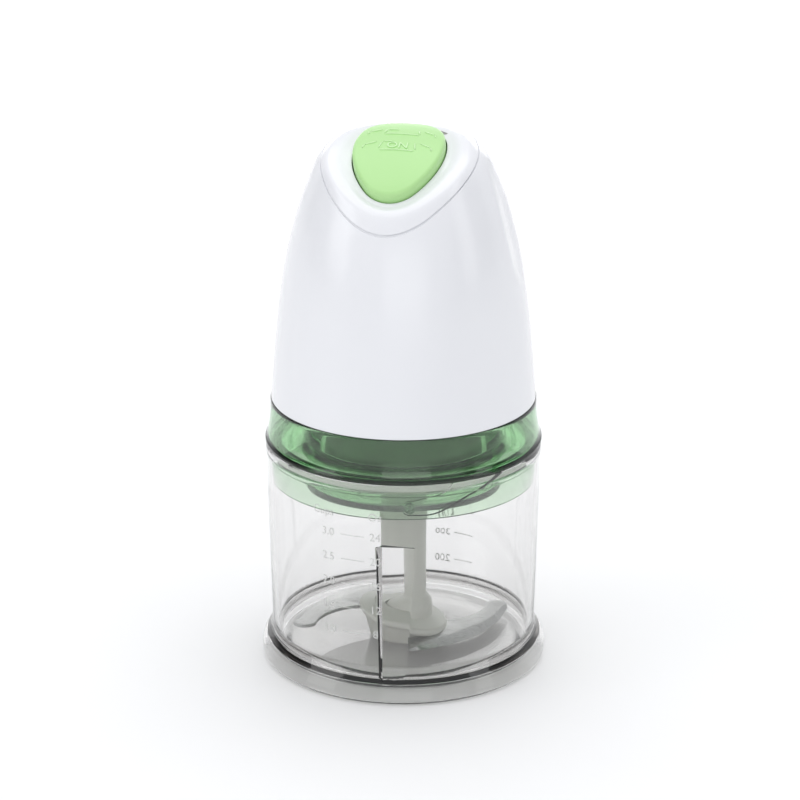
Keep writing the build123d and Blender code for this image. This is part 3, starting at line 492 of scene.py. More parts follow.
# ---------------------------------------------------------------- bowl
class BuildBowl(bpy.types.Operator):
    """Clear bowl: foot ring, flare, tapering wall with two wedge ribs, lock grooves and rim"""
    bl_idname = "foodproc.bowl"
    bl_label = "Bowl"

    def execute(self, context):
        size = context.scene.fp_bowl
        slot_start = LUG_ANGLE + 120 * np.arange(LUG_COUNT)
        near_slots = (slot_start[:, None]
                      + np.r_[np.linspace(-3.27, 0, 14), np.arange(0, 46, 0.5), 45.1, 45.3]).ravel()
        near_ribs = (np.array([0, 180])[:, None]
                     + np.r_[RIB_STEEP[0], np.linspace(-0.6, 1.3, 6), RIB_STEEP[1], 1.6,
                             np.arange(2, 24, 0.5)]).ravel()
        angle = np.unique(np.round(np.r_[np.arange(0, 360, 1.5), near_slots, near_ribs] % 360, 4))
        inner_slope = [(11.1, 58.0), (78.0, 59.5), (RIM_Z, 59.6)]

        def wall(z):
            return np.interp(z, [p[0] for p in inner_slope], [p[1] for p in inner_slope])

        # lock groove: a round end, a short level stretch and a ramp that runs out at the rim
        from_lug = (angle[:, None] - slot_start[None] + 60) % 120 - 60
        from_lug = from_lug[np.arange(len(angle)), np.argmin(np.abs(from_lug - 20), axis=1)]
        even = np.linspace(0, 1, 80)
        low_curve = through([(0, 90.7), (9, 90.7), (24.4, 97.0), (36, 101.5), (47, 106.5)], even,
                            start=(1, 0))
        high_curve = through([(0, 97.5), (7, 98.9), (16, 101.9), (19, 106.5)], even, start=(1, 0))
        round_end = np.sqrt(np.maximum(GROOVE_R ** 2 - (np.minimum(from_lug, 0) * 1.04) ** 2, 0))
        low = np.where(from_lug < 0, GROOVE_Z - round_end,
                       np.interp(from_lug, low_curve[:, 0], low_curve[:, 1]))
        high = np.where(from_lug < 0, GROOVE_Z + round_end,
                        np.interp(from_lug, high_curve[:, 0], high_curve[:, 1]))
        high = np.where(from_lug > 18.9, RIM_Z + 1, high)
        outside = (from_lug < -3.27) | (from_lug > 45.0)
        plain = np.interp(from_lug, [-60, -3.27, 45, 60], [100, GROOVE_Z, RIM_Z - 0.5, 103])
        low = np.where(outside, plain, np.minimum(low, RIM_Z - 0.4))
        high = np.where(outside, plain, high)
        opened = (high > RIM_Z - 0.4) & ~outside
        high = np.minimum(high, RIM_Z - 0.4)
        groove = np.where(outside, wall(plain), 61.2)

        # wedge rib: the straight line from its crest to where it runs into the wall, as a radius per angle
        from_rib = (angle + 90) % 180 - 90
        crest_r = wall(11.1) + 0.6 - size.rib_depth
        crest, foot = (r * np.array([math.cos(math.radians(a)), math.sin(math.radians(a))])
                       for r, a in ((crest_r, RIB_STEEP[1]), (58.9, 14.8)))
        along = foot - crest
        turn = np.radians(from_rib)
        rib_r = ((crest[0] * along[1] - crest[1] * along[0])
                 / (np.cos(turn) * along[1] - np.sin(turn) * along[0]))
        rib_r = np.where((from_rib > RIB_STEEP[0] - 0.01) & (from_rib < 20), rib_r, 99.0)
        steep = crest_r + (59.6 - crest_r) * (RIB_STEEP[1] - from_rib) / (RIB_STEEP[1] - RIB_STEEP[0])
        rib_r = np.where((from_rib > RIB_STEEP[0] - 0.01) & (from_rib < RIB_STEEP[1]), steep, rib_r)

        rows = []

        def row(r, z):
            rows.append(around(angle, np.broadcast_to(r, angle.shape), np.broadcast_to(z, angle.shape)))

        underside = eased([(0, 3.2), (52, 3.2), (54.4, 4.4), (58.9, 6.4), (60.3, 8.4), (61.4, 6.4),
                           (62.2, 3.2), (62.5, 0), (63.6, 0), (65.4, 1.8), (65.4, 5.0)],
                          [0, 1, 1, 1, 0.8, 1, 0.8, 0.3, 0.5, 1.2, 0], closed=False)
        flare = through([(65.4, 5.0), (64.7, 9.0), (62.3, 13.0), (size.wall_foot, 17.0)],
                        np.linspace(0, 1, 14), start=(0, 1), end=(0.03, 1))
        outer = eased([(size.wall_foot, 17.2), (size.wall_top - 0.1, 78), (size.wall_top, 99.5),
                       (62.9, 100.1), (62.9, RIM_Z), (61.5, RIM_Z)], [0, 4, 0.3, 0.3, 0.5, 0], closed=False)
        for r, z in np.vstack([underside, flare, outer]):
            row(r, z)
        rim_in = np.where(opened, 61.2, 60.0)
        row(rim_in, RIM_Z)
        row(np.where(opened, 61.2, 59.7), RIM_Z - 0.12)
        row(np.where(opened, 61.2, 59.6), RIM_Z - 0.4)
        row(np.where(opened, 61.2, wall(high)), high)
        row(groove, high)
        row(groove, (high + low) / 2)
        row(groove, low)
        row(wall(low), low)
        for z in (88.0, 80.0, size.rib_top + 0.25):
            row(wall(z), z)
        for z, drop in ((size.rib_top, 0.25), (size.rib_top - 0.25, 0.0)):
            row(np.minimum(wall(z), rib_r + drop), z)
        for z in np.linspace(size.rib_top - 6, 11.1, 12):
            row(np.minimum(wall(z), rib_r), z)
        bend = np.radians(np.linspace(15, 90, 7))
        for r, z in zip(54.4 + 3.6 * np.cos(bend), 11.1 - 3.6 * np.sin(bend)):
            row(np.minimum(r, rib_r), z)
        for r in (40, 20, 6):
            row(float(r), 7.5)
        row(0.0, 7.5)
        piece("bowl_shell", [(np.stack(rows, 1), True, True)], "bowl", clear_san(), crease=28)
        return {"FINISHED"}


def lettering(text, size_mm, thick_mm=0.16):
    """Flat figures as a closed mesh: outline text extruded by thick_mm, in mm."""
    curve = bpy.data.curves.new("figure", "FONT")
    curve.body = text
    curve.size = size_mm
    curve.align_x = "CENTER"
    curve.align_y = "CENTER"
    curve.extrude = thick_mm / 2
    curve.resolution_u = 3
    holder = bpy.data.objects.new("figure", curve)
    bpy.context.scene.collection.objects.link(holder)
    bpy.context.view_layer.update()
    mesh = bpy.data.meshes.new_from_object(holder.evaluated_get(bpy.context.evaluated_depsgraph_get()))
    bpy.data.objects.remove(holder)
    bpy.data.curves.remove(curve)
    return mesh


def vertices_of(mesh):
    """Vertices of a mesh as an array."""
    flat = np.zeros(len(mesh.vertices) * 3)
    mesh.vertices.foreach_get("co", flat)
    return flat.reshape(-1, 3)


def joined(name, parts):
    """One mesh from several (mesh, points) pairs, the points taking the place of the mesh's own."""
    work = bmesh.new()
    for mesh, points in parts:
        mesh.vertices.foreach_set("co", np.ascontiguousarray(points).ravel())
        work.from_mesh(mesh)
    bmesh.ops.remove_doubles(work, verts=work.verts, dist=1e-6)
    bmesh.ops.recalc_face_normals(work, faces=work.faces)
    whole = bpy.data.meshes.new(name)
    work.to_mesh(whole)
    work.free()
    for mesh, _ in parts:
        bpy.data.meshes.remove(mesh)
    return whole


def bar_mesh(length, height, thick, count=12):
    """Thin flat bar as a closed mesh, divided along its length so that it can be bent."""
    mesh = bpy.data.meshes.new("tick")
    x = np.linspace(-length / 2, length / 2, count)
    ring = np.array([(-1, -1), (1, -1), (1, 1), (-1, 1)]) / 2
    points = np.zeros((count, 4, 3))
    points[..., 0] = x[:, None]
    points[..., 1] = ring[None, :, 0] * height
    points[..., 2] = ring[None, :, 1] * thick
    faces = quads_of(count, 4, False, True).tolist()
    last = (count - 1) * 4
    mesh.from_pydata(points.reshape(-1, 3), [], faces + [[3, 2, 1, 0], [last, last + 1, last + 2, last + 3]])
    return mesh


class BuildMarks(bpy.types.Operator):
    """Volume marks printed on the bowl: cups and ounces at the front left, millilitres at the back"""
    bl_idname = "foodproc.marks"
    bl_label = "Volume marks"

    def execute(self, context):
        size = context.scene.fp_bowl
        parts = []

        def put(mesh, angle, z):
            """Bends a flat mesh round the bowl: x becomes an angle, y the height, z the distance outwards."""
            flat = vertices_of(mesh)
            height = z + flat[:, 1]
            skin = np.interp(height, [17, 78, 99.5], [size.wall_foot, size.wall_top - 0.1, size.wall_top])
            bent = around(angle + np.degrees(flat[:, 0] / skin), skin + flat[:, 2] + 0.05, height)
            parts.append((mesh, bent * MM))

        put(lettering("Cups", size.mark_height), -24.0, 89.4)
        put(lettering("Oz", size.mark_height), -0.8, 89.4)
        for step in range(5):
            cups = 3.0 - 0.5 * step
            z = 79.8 - 11.85 * step
            put(lettering(f"{cups:.1f}", size.mark_height), -21.8, z)
            put(bar_mesh(11.4, 0.3, 0.16), -10.6, z)
            put(lettering(f"{round(cups * 8)}", size.mark_height), -0.8, z)
        for millilitres in range(200, 601, 100):
            z = 22.5 + (millilitres - 200) * 0.135
            put(lettering(str(millilitres), size.mark_height), 172.5, z)
            put(bar_mesh(10.4, 0.3, 0.16), 162.0, z)
        mesh = joined("volume_marks", parts)
        dressed("volume_marks", mesh, "bowl", mark_ink(), replaces=False)
        return {"FINISHED"}


# ---------------------------------------------------------------- lid
class BuildLid(bpy.types.Operator):
    """Green lid: band, flange, skirt with round lugs and the stepped cup that takes the spigot"""
    bl_idname = "foodproc.lid"
    bl_label = "Lid"

    def execute(self, context):
        size = context.scene.fp_lid
        w = size.wall
        flange = RIM_Z + 0.1
        band = through([(60.5, LID_TOP_Z - 0.4), (60.9, 116.0), (62.6, 107.4)], np.linspace(0, 1, 14),
                       start=(0, -1), end=(0.35, -1))
        under = eased([(62.6, 107.4), (63.1, 106.9), (63.1, flange), (57.9, flange), (57.9, 101.0),
                       (58.9, 100.4), (58.9, 88.0), (57.1, 88.0), (56.5, 101.0), (55.7, flange), (size.cup, flange),
                       (size.cup, 88.0), (size.step, 88.0), (size.step - w, 88 + w), (size.step - w, 93.5),
                       (12.5, 93.5), (12.5, 93.5 + w), (size.step, 93.5 + w), (size.step, 88 + w),
                       (size.cup - w, 88 + w), (size.cup - w, 122.0), (size.cup, 122.0),
                       (size.cup, flange + w), (60.5, flange + w)],
                      [0, 0.3, 0.2, 0.2, 0.3, 0.4, 0.5, 0.5, 1, 1, 0.8, 1.6, 0.8, 0.6, 0.5, 0.5, 0.5, 1.0,
                       0.8, 1.2, 0.5, 0.5, 0.6, 0], closed=False)
        inside = through([(60.5, flange + w), (60.9 - w, 116.0), (60.5 - w, LID_TOP_Z - 0.4)],
                         np.linspace(0, 1, 10))
        top = np.array([(60.5 - w + 0.12, LID_TOP_Z - 0.12), (60.5 - w + 0.4, LID_TOP_Z), (60.1, LID_TOP_Z),
                        (60.38, LID_TOP_Z - 0.12)])
        profile = np.vstack([band, under, inside, top])
        piece("lid_shell", [turned(profile, 240)], "lid", green_san(), crease=35)

        # lugs: short round bars along a radius, with eased outer edges
        lugs = []
        ring = np.radians(np.linspace(0, 360, 28, endpoint=False))[:, None]
        shape = eased([(1.0, 57.6), (2.5, 57.6), (2.5, 60.9), (1.0, 60.9)], [0.1, 0.1, 0.35, 0.3])
        for number in range(LUG_COUNT):
            a = math.radians(LUG_ANGLE + 120 * number)
            out = np.array([math.sin(a), -math.cos(a), 0])
            side = np.array([math.cos(a), math.sin(a), 0])
            up = np.array([0, 0, 1.0])
            across = shape[:, 0][None]
            points = ((across * np.cos(ring))[..., None] * side + (across * np.sin(ring))[..., None] * up
                      + shape[:, 1][None, :, None] * out + 93.8 * up)
            lugs.append((points, True, True))
        piece("lid_lugs", lugs, "lid", green_san(), replaces=False)
        return {"FINISHED"}


# ---------------------------------------------------------------- motor unit
def scooped(points, depth, blend_mm=3.0, bar_r=26.0):
    """Pushes points out of the two finger scoops. A scoop is a bar with a round lower end that
    leans inwards; skin that it would enter is pushed out of it, blended over blend_mm."""
    lean = math.radians(14.0)
    side = np.where(points[..., :1] < 0, -1.0, 1.0)
    start = np.concatenate([side * (53.0 - depth + bar_r), 0 * side, 0 * side + 198.5], -1)
    axis = np.concatenate([-side * math.sin(lean), 0 * side, 0 * side + math.cos(lean)], -1)
    along = np.clip(((points - start) * axis).sum(-1, keepdims=True), 0, None)
    away = points - start - along * axis
    gap = np.linalg.norm(away, axis=-1, keepdims=True)
    inside = bar_r - gap
    push = np.where(inside > blend_mm, inside,
                    np.where(inside < -blend_mm, 0, (inside + blend_mm) ** 2 / (4 * blend_mm)))
    flat = away.copy()
    flat[..., 2] *= 0.3
    flat /= np.maximum(np.linalg.norm(flat, axis=-1, keepdims=True), 1e-9)
    return points + flat * push


def arch(back):
    """Height of the arched panel over its plane: a cylinder whose axis runs across.
    height = sqrt(radius^2 - (back + ahead)^2) - drop."""
    return np.sqrt(np.maximum(ARCH_R ** 2 - (np.asarray(back, float) + ARCH_AHEAD) ** 2, 0)) - ARCH_DROP


def above_panel(points):
    """Height of points above the arched panel, along the normal of its plane."""
    gap = points - np.array([0, 0, PANEL_Z])
    return gap @ PLANE_UP - arch(gap @ PLANE_BACK)


def on_panel(side, back, height):
    """Points given in the panel's plane and a height above it."""
    side, back, height = np.broadcast_arrays(side, back, height)
    return (side[..., None] * PLANE_SIDE + back[..., None] * PLANE_BACK + height[..., None] * PLANE_UP
            + np.array([0, 0, PANEL_Z]))


def on_arch(side, back, height):
    """Points given in the panel's plane and a height above the arched panel."""
    return on_panel(side, back, height + arch(back))


def dome_edge(angle, height):
    """Distance from the panel's centre to the dome's skin, per direction in the plane and height above it."""
    dense = through(DOME_OUTLINE, np.linspace(0, 1, 1500), start=(-0.06, 1), end=(-1, 0))
    side, back = np.sin(angle), -np.cos(angle)

    def outside(distance):
        p = on_arch(PANEL_CENTRE[0] + distance * side, PANEL_CENTRE[1] + distance * back, height)
        skin = np.interp(p[..., 2], dense[:, 1], dense[:, 0], left=60.1, right=-1)
        return np.hypot(p[..., 0], p[..., 1]) - skin

    shape = np.broadcast(angle, height).shape
    return solve(outside, np.zeros(shape), np.full(shape, 80.0))


def button_edge(angle, grow):
    """Distance from the panel's centre to the button's outline grown by grow: the space shared by a disc of
    radius 34 at the back and two of radius 40 at the sides, with softened corners."""
    side, back = np.sin(angle), -np.cos(angle)

    def outside(distance):
        x = PANEL_CENTRE[0] + distance * side
        y = PANEL_CENTRE[1] + distance * back
        left = np.hypot(x - 19.7, y + 9) - 40
        right = np.hypot(x + 19.7, y + 9) - 40
        rear = np.hypot(x, y + 18.4) - 34
        return soft_max(soft_max(left, right, 13), rear, 6) - grow

    shape = np.broadcast(angle, grow).shape
    return solve(outside, np.zeros(shape), np.full(shape, 70.0))


class BuildHousing(bpy.types.Operator):
    """White housing: bullet-shaped shell with finger scoops, cut along the slope of the top panel"""
    bl_idname = "foodproc.housing"
    bl_label = "Motor housing"

    def execute(self, context):
        size = context.scene.fp_motor
        columns, rows = 288, 110
        angle = np.linspace(0, 360, columns, endpoint=False)[:, None]
        fine = np.linspace(0, 0.985, 500)
        curve = through(DOME_OUTLINE, fine, start=(-0.06, 1), end=(-1, 0))
        skin = scooped(around(angle, curve[None, :, 0], curve[None, :, 1]), size.grip_depth)
        level = np.where(skin[..., 2] < ARCH_AXIS_Z, -1.0, above_panel(skin) + PANEL_THICK + 0.12)
        first = np.argmax(level > 0, axis=1)
        number = np.arange(columns)
        before, after = level[number, first - 1], level[number, first]
        stop = fine[first - 1] + (fine[first] - fine[first - 1]) * before / (before - after)
        share = 1 - (1 - np.linspace(0, 1, rows)) ** 1.15
        at = (stop[:, None] * share[None]).ravel()
        curve = through(DOME_OUTLINE, at, start=(-0.06, 1), end=(-1, 0)).reshape(columns, rows, 2)
        skin = scooped(around(angle, curve[..., 0], curve[..., 1]), size.grip_depth)
        normal = np.cross(np.roll(skin, -1, 0) - np.roll(skin, 1, 0), np.gradient(skin, axis=1))
        normal /= np.linalg.norm(normal, axis=-1, keepdims=True)
        inner = skin - normal * SHELL_WALL
        inner[:, 0, 2] = LID_TOP_Z
        inner[:, -1] -= (above_panel(inner[:, -1]) + PANEL_THICK + 0.12)[:, None] * PLANE_UP
        # the parting edge is eased by 0.3 mm so that it reads as a fine line
        edge = skin[:, -1:] - normal[:, -1:] * 0.35
        lower = skin[:, :1] - normal[:, :1] * 0.35
        shoulder = skin[:, -1:] + (skin[:, -2:-1] - skin[:, -1:]) * 0.15
        ring = np.concatenate([lower, skin[:, :1] + np.array([0, 0, 0.3]), skin[:, 1:-1], shoulder, edge,
                               inner[:, ::-1]], 1)
        shell = piece("motor_housing_shell", [(ring, True, True)], "motor_housing", white_abs(), crease=38)

        # the cord gland's hole
        hole_r, gland_z = 6.0, 137.0
        turn = np.radians(np.linspace(0, 360, 48, endpoint=False))[:, None]
        ends = np.array([(0, 48.0), (hole_r, 48.0), (hole_r, 66.0), (0, 66.0)])
        points = np.stack(np.broadcast_arrays(ends[None, :, 0] * np.cos(turn), ends[None, :, 1],
                                              gland_z + ends[None, :, 0] * np.sin(turn)), -1)
        drill = piece("gland_drill", [(points, True, False)], "motor_housing", white_abs(), replaces=False)
        cut = shell.modifiers.new("gland_hole", "BOOLEAN")
        cut.object = drill
        cut.solver = "EXACT"
        bpy.context.view_layer.update()
        made = bpy.data.meshes.new_from_object(shell.evaluated_get(bpy.context.evaluated_depsgraph_get()))
        shell.modifiers.clear()
        shell.data = made
        bpy.data.objects.remove(drill)
        return {"FINISHED"}


class BuildTopPanel(bpy.types.Operator):
    """White top panel: rounded rim, raised lip and a shallow dish down to the button's well"""
    bl_idname = "foodproc.top_panel"
    bl_label = "Top panel"

    def execute(self, context):
        size = context.scene.fp_motor
        angle = np.radians(np.linspace(0, 360, 288, endpoint=False))[:, None]
        low, high, ease = -PANEL_THICK + 0.12, 0.0, 2.2
        heights = np.linspace(low + 0.25, -ease * 0.75, 6)[None]
        skirt = dome_edge(angle, heights)
        foot_r = dome_edge(angle, np.array([[low + 0.25]]))
        shoulder_r = dome_edge(angle, np.array([[-ease * 0.75]]))
        corner_r = dome_edge(angle, np.array([[high]]))
        t = np.linspace(0, 1, 10)[None, 1:]
        lip_outer = corner_r - ease * 0.6
        round_r = (1 - t) ** 2 * shoulder_r + 2 * t * (1 - t) * corner_r + t ** 2 * lip_outer
        round_h = (1 - t) ** 2 * (-ease * 0.75)
        well_r = button_edge(angle, np.array([[0.45]]))
        lip_inner = corner_r - size.lip
        # dish: falls fast from the lip and then runs nearly level to the well
        s = np.linspace(0, 1, 26)[None, 1:]
        room = np.maximum(lip_inner - well_r - 0.5, 0.2)
        dish_r = lip_inner - room * s
        fall = smooth(s * room / np.minimum(6.0, room * 0.8))
        dish_h = -size.dish * fall - 0.25 * s * fall
        end_h = dish_h[:, -1:]
        lip_r = np.concatenate([lip_inner + (lip_outer - lip_inner) * 0.5, lip_inner], 1)
        radius = [foot_r - 0.3, skirt, round_r, lip_r, dish_r,
                  well_r + 0.15, well_r, well_r, well_r + 0.3]
        height = [0 * foot_r + low, 0 * angle + heights, round_h + 0 * angle, 0 * lip_r, dish_h,
                  end_h - 0.06, end_h - 0.4, 0 * well_r + low + 0.3, 0 * well_r + low]
        r, h = np.concatenate(radius, 1), np.concatenate(height, 1)
        points = on_arch(PANEL_CENTRE[0] + r * np.sin(angle), PANEL_CENTRE[1] - r * np.cos(angle), h)
        piece("top_panel_insert", [(points, True, True)], "top_panel", white_abs(), crease=50)
        return {"FINISHED"}


class BuildButton(bpy.types.Operator):
    """Green push button: pick-shaped cap with a crowned top, eased edge and stem"""
    bl_idname = "foodproc.button"
    bl_label = "Power button"

    @staticmethod
    def crown(x, y, rise):
        """Top of the button: a ball of radius 300 about the panel's centre."""
        return rise - (x ** 2 + (y - PANEL_CENTRE[1]) ** 2) / (2 * 300.0)

    def execute(self, context):
        rise = context.scene.fp_motor.rise
        angle = np.radians(np.linspace(0, 360, 240, endpoint=False))[:, None]
        ease = 1.9
        side_h = np.array([[-4.0, -3.7, -1.0, 1.0, rise - 1.0 - ease]])
        side_grow = np.array([[-0.3, 0, 0, -0.05, -0.1]])
        skirt = button_edge(angle, side_grow)
        rim = button_edge(angle, np.array([[-0.1]]))
        bend = np.radians(np.linspace(0, 90, 9))[None, 1:]
        round_r = rim - ease * (1 - np.cos(bend))
        x, y = rim * np.sin(angle), PANEL_CENTRE[1] - rim * np.cos(angle)
        edge_h = self.crown(x, y, rise)
        round_h = edge_h - ease + ease * np.sin(bend)
        share = np.linspace(1, 0, 16)[None, 1:]
        flat_r = (rim - ease) * share
        flat_h = self.crown(flat_r * np.sin(angle), PANEL_CENTRE[1] - flat_r * np.cos(angle), rise)
        # the crown starts where the rounding ends, a little above its own rim
        flat_h = flat_h - (self.crown(x, y, rise) - edge_h)
        inner = button_edge(angle, np.array([[-2.2]]))
        stem = np.array([[3.0, 3.0, 2.7, 0.0]])
        under_r = np.concatenate([inner, inner, 0 * angle + stem], 1)
        under_h = np.broadcast_to(np.array([[-4.0, 2.0, 2.0, -14.2, -14.5, -14.5]]), under_r.shape)
        r = np.concatenate([skirt, round_r, flat_r, 0 * angle], 1)
        h = np.concatenate([side_h + 0 * angle, round_h, flat_h, 0 * angle + flat_h[:, -1:]], 1)
        r = np.concatenate([under_r[:, ::-1], r], 1)
        h = np.concatenate([under_h[:, ::-1], h], 1)
        # the stem stands on the panel's axis, the cap about its own centre
        hub = np.concatenate([np.ones((1, 4)), np.zeros((1, r.shape[1] - 4))], 1)
        back = PANEL_CENTRE[1] * (1 - hub) - r * np.cos(angle)
        h = np.where(hub > 0, h, np.maximum(h + arch(back), np.where(h < rise - 3.5, SKIRT_END, -99)))
        points = on_panel(r * np.sin(angle), back, h)
        piece("button_cap", [(points, True, False)], "power_button", button_abs(), crease=40)
        return {"FINISHED"}


class BuildButtonMarks(bpy.types.Operator):
    """Raised marks on the button: the word ON in a curved frame with a wing at each side, and its pair"""
    bl_idname = "foodproc.button_marks"
    bl_label = "Button marks"

    def execute(self, context):
        rise = context.scene.fp_motor.rise
        grids = []

        def stroke(x, y, width=0.75, tall=0.5):
            """Raised line along a path in the button's plane: a low rounded section carried along it, with
            pinched ends, sunk 0.3 mm into the crown."""
            path = np.stack([x, y], -1)
            step = np.gradient(path, axis=0)
            step /= np.linalg.norm(step, axis=1, keepdims=True)
            normal = np.stack([-step[:, 1], step[:, 0]], -1)
            v = np.radians(np.linspace(0, 360, 10, endpoint=False))
            taper = np.r_[0.0, 0.75, np.ones(len(x) - 4), 0.75, 0.0]
            spread = taper[:, None] * np.cos(v)[None] * width / 2
            across = path[:, None] + normal[:, None] * spread[..., None]
            base = BuildButton.crown(across[..., 0], across[..., 1], rise)
            lift = np.where(np.sin(v)[None] > 0, tall, 0.3) * np.sin(v)[None] * taper[:, None]
            grids.append((on_arch(across[..., 0], across[..., 1], base + lift), False, True))

        def arc(radius, centre_y, start, end, count=24):
            turn = np.radians(np.linspace(start, end, count))
            return radius * np.sin(turn), centre_y + radius * np.cos(turn)

        def line(x0, y0, x1, y1, count=8):
            return np.linspace(x0, x1, count), np.linspace(y0, y1, count)

        for middle_y, half, tall in ((-10.8, 8.2, 6.2), (1.4, 8.0, 4.2)):
            low_y = middle_y - tall / 2
            stroke(*line(-half, low_y + 0.5, -half + 1.0, low_y + tall))
            stroke(*line(half, low_y + 0.5, half - 1.0, low_y + tall))
            stroke(*arc(60, low_y + 60 - 0.3 - 60 * 2 + 0.4, -7.6, 7.6))
            stroke(*line(-half + 1.2, low_y + tall, -half + 6.0, low_y + tall + 0.3))
            for side in (-1, 1):
                top_y = low_y + tall
                stroke(*line(side * (half + 1.2), top_y - 0.4, side * (half + 6.6), top_y - 3.2))
                stroke(*line(side * (half + 6.6), top_y - 3.2, side * (half + 7.4), top_y - 5.6))
        piece("button_marks", grids, "power_button", raised_marks(), replaces=False, crease=60)
        word = lettering("ON", 6.2, 0.8)
        flat = vertices_of(word)
        x, y = flat[:, 0], -10.7 + flat[:, 1]
        points = on_arch(x, y, BuildButton.crown(x, y, rise) + flat[:, 2])
        mesh = joined("button_word", [(word, points * MM)])
        dressed("button_word", mesh, "power_button", raised_marks(), replaces=False)
        return {"FINISHED"}


class BuildSpring(bpy.types.Operator):
    """Coil spring under the button, six turns of round wire"""
    bl_idname = "foodproc.spring"
    bl_label = "Button spring"

    def execute(self, context):
        wire_r, coil_r, low, high, turns = 0.35, 4.2, -10.5, 2.0, 6
        run = np.linspace(0, 1, turns * 30)
        turn = 2 * math.pi * turns * run
        outward = np.stack([np.cos(turn), np.sin(turn)], -1)
        middle = low + wire_r + (high - low - 2 * wire_r) * run
        v = np.radians(np.linspace(0, 360, 10, endpoint=False))
        taper = np.r_[0, np.ones(len(run) - 2), 0][:, None]
        reach = coil_r + wire_r * np.cos(v)[None] * taper
        points = on_panel(outward[:, :1] * reach, outward[:, 1:] * reach,
                          middle[:, None] + wire_r * np.sin(v)[None] * taper)
        coil = piece("button_coil", [(points, False, True)], "button_spring", turned_steel(), crease=60)
        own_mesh(coil)
        return {"FINISHED"}


# ---------------------------------------------------------------- blade unit
class BuildBlades(bpy.types.Operator):
    """Two crescent blades: ground edge on the convex side, round tip, root inside the hub"""
    bl_idname = "foodproc.blades"
    bl_label = "Blades"

    def execute(self, context):
        size = context.scene.fp_blades
        t = np.linspace(0, 1, 90)

        def circle_through(a, b, c, share):
            """Points on the circle through a, b and c, from a to c."""
            a, b, c = (complex(*p) for p in (a, b, c))
            w = (c - a) / (b - a)
            centre = (b - a) * (w - abs(w) ** 2) / (2j * w.imag) + a
            first, last = np.angle(a - centre), np.angle(c - centre)
            middle = np.angle(b - centre)
            turn = (last - first) % (2 * math.pi)
            if (middle - first) % (2 * math.pi) > turn:
                turn -= 2 * math.pi
            z = centre + abs(a - centre) * np.exp(1j * (first + turn * share))
            return np.stack([z.real, z.imag], -1)

        cutting = circle_through((2, -30), (34.2, -11.5), (48.4, 16.8), t[:70] / t[69])
        tip = circle_through((48.4, 16.8), (47.4, 24.9), (40.0, 23.4), np.linspace(0, 1, 40))
        back = circle_through((19.0, 3.4), (32.5, 9.2), (40.0, 23.4), t[:70] / t[69])
        root = [(2, -30), (-6, -18), (-2, -11), (6, -8), (11, -2), (14, 1.5)]
        edge_side = np.vstack([cutting, tip[1:20]])
        spine_side = np.vstack([root, back, tip[20:-1][::-1]])
        share = np.linspace(0, 1, 90)

        def resampled(path):
            run = np.r_[0, np.cumsum(np.linalg.norm(np.diff(path, axis=0), axis=1))]
            return np.stack([np.interp(share * run[-1], run, path[:, k]) for k in (0, 1)], -1)

        front, rear = resampled(edge_side), resampled(spine_side)
        half = size.thick / 2
        ground = size.bevel * smooth(share / 0.2 + 0.2) * (1 - 0.75 * smooth((share - 0.8) / 0.2))
        # section across the blade, from the cutting edge over the ground face to the spine and back below
        across = [0 * share, ground, ground + 0.02, 0 * share + 0.96, 0 * share + 1, 0 * share + 1,
                  0 * share + 0.96, 0 * share + 0.02]
        lift = [-half + 0.12, half - 0.03, half, half, half - 0.15, -half + 0.15, -half, -half]
        for name, z, extra in (("lower_blade", 11.5, 0.0), ("upper_blade", 21.5, 180.0)):
            points = np.stack([front + (rear - front) * a[:, None] for a in across], 1)
            high = np.broadcast_to(np.array(lift)[None], points.shape[:2]) + z + half
            turn = math.radians(BLADE_TURN + extra)
            x = points[..., 0] * math.cos(turn) - points[..., 1] * math.sin(turn)
            y = points[..., 0] * math.sin(turn) + points[..., 1] * math.cos(turn)
            grid = np.stack([x, y, high], -1)
            # both ends close on their middle line
            root = grid[:1].mean(1, keepdims=True).repeat(grid.shape[1], 1)
            end = grid[-1:].mean(1, keepdims=True).repeat(grid.shape[1], 1)
            piece(f"{name}_strip", [(np.concatenate([root, grid, end]), False, True)], name,
                  ground_stainless(), crease=12)
        return {"FINISHED"}


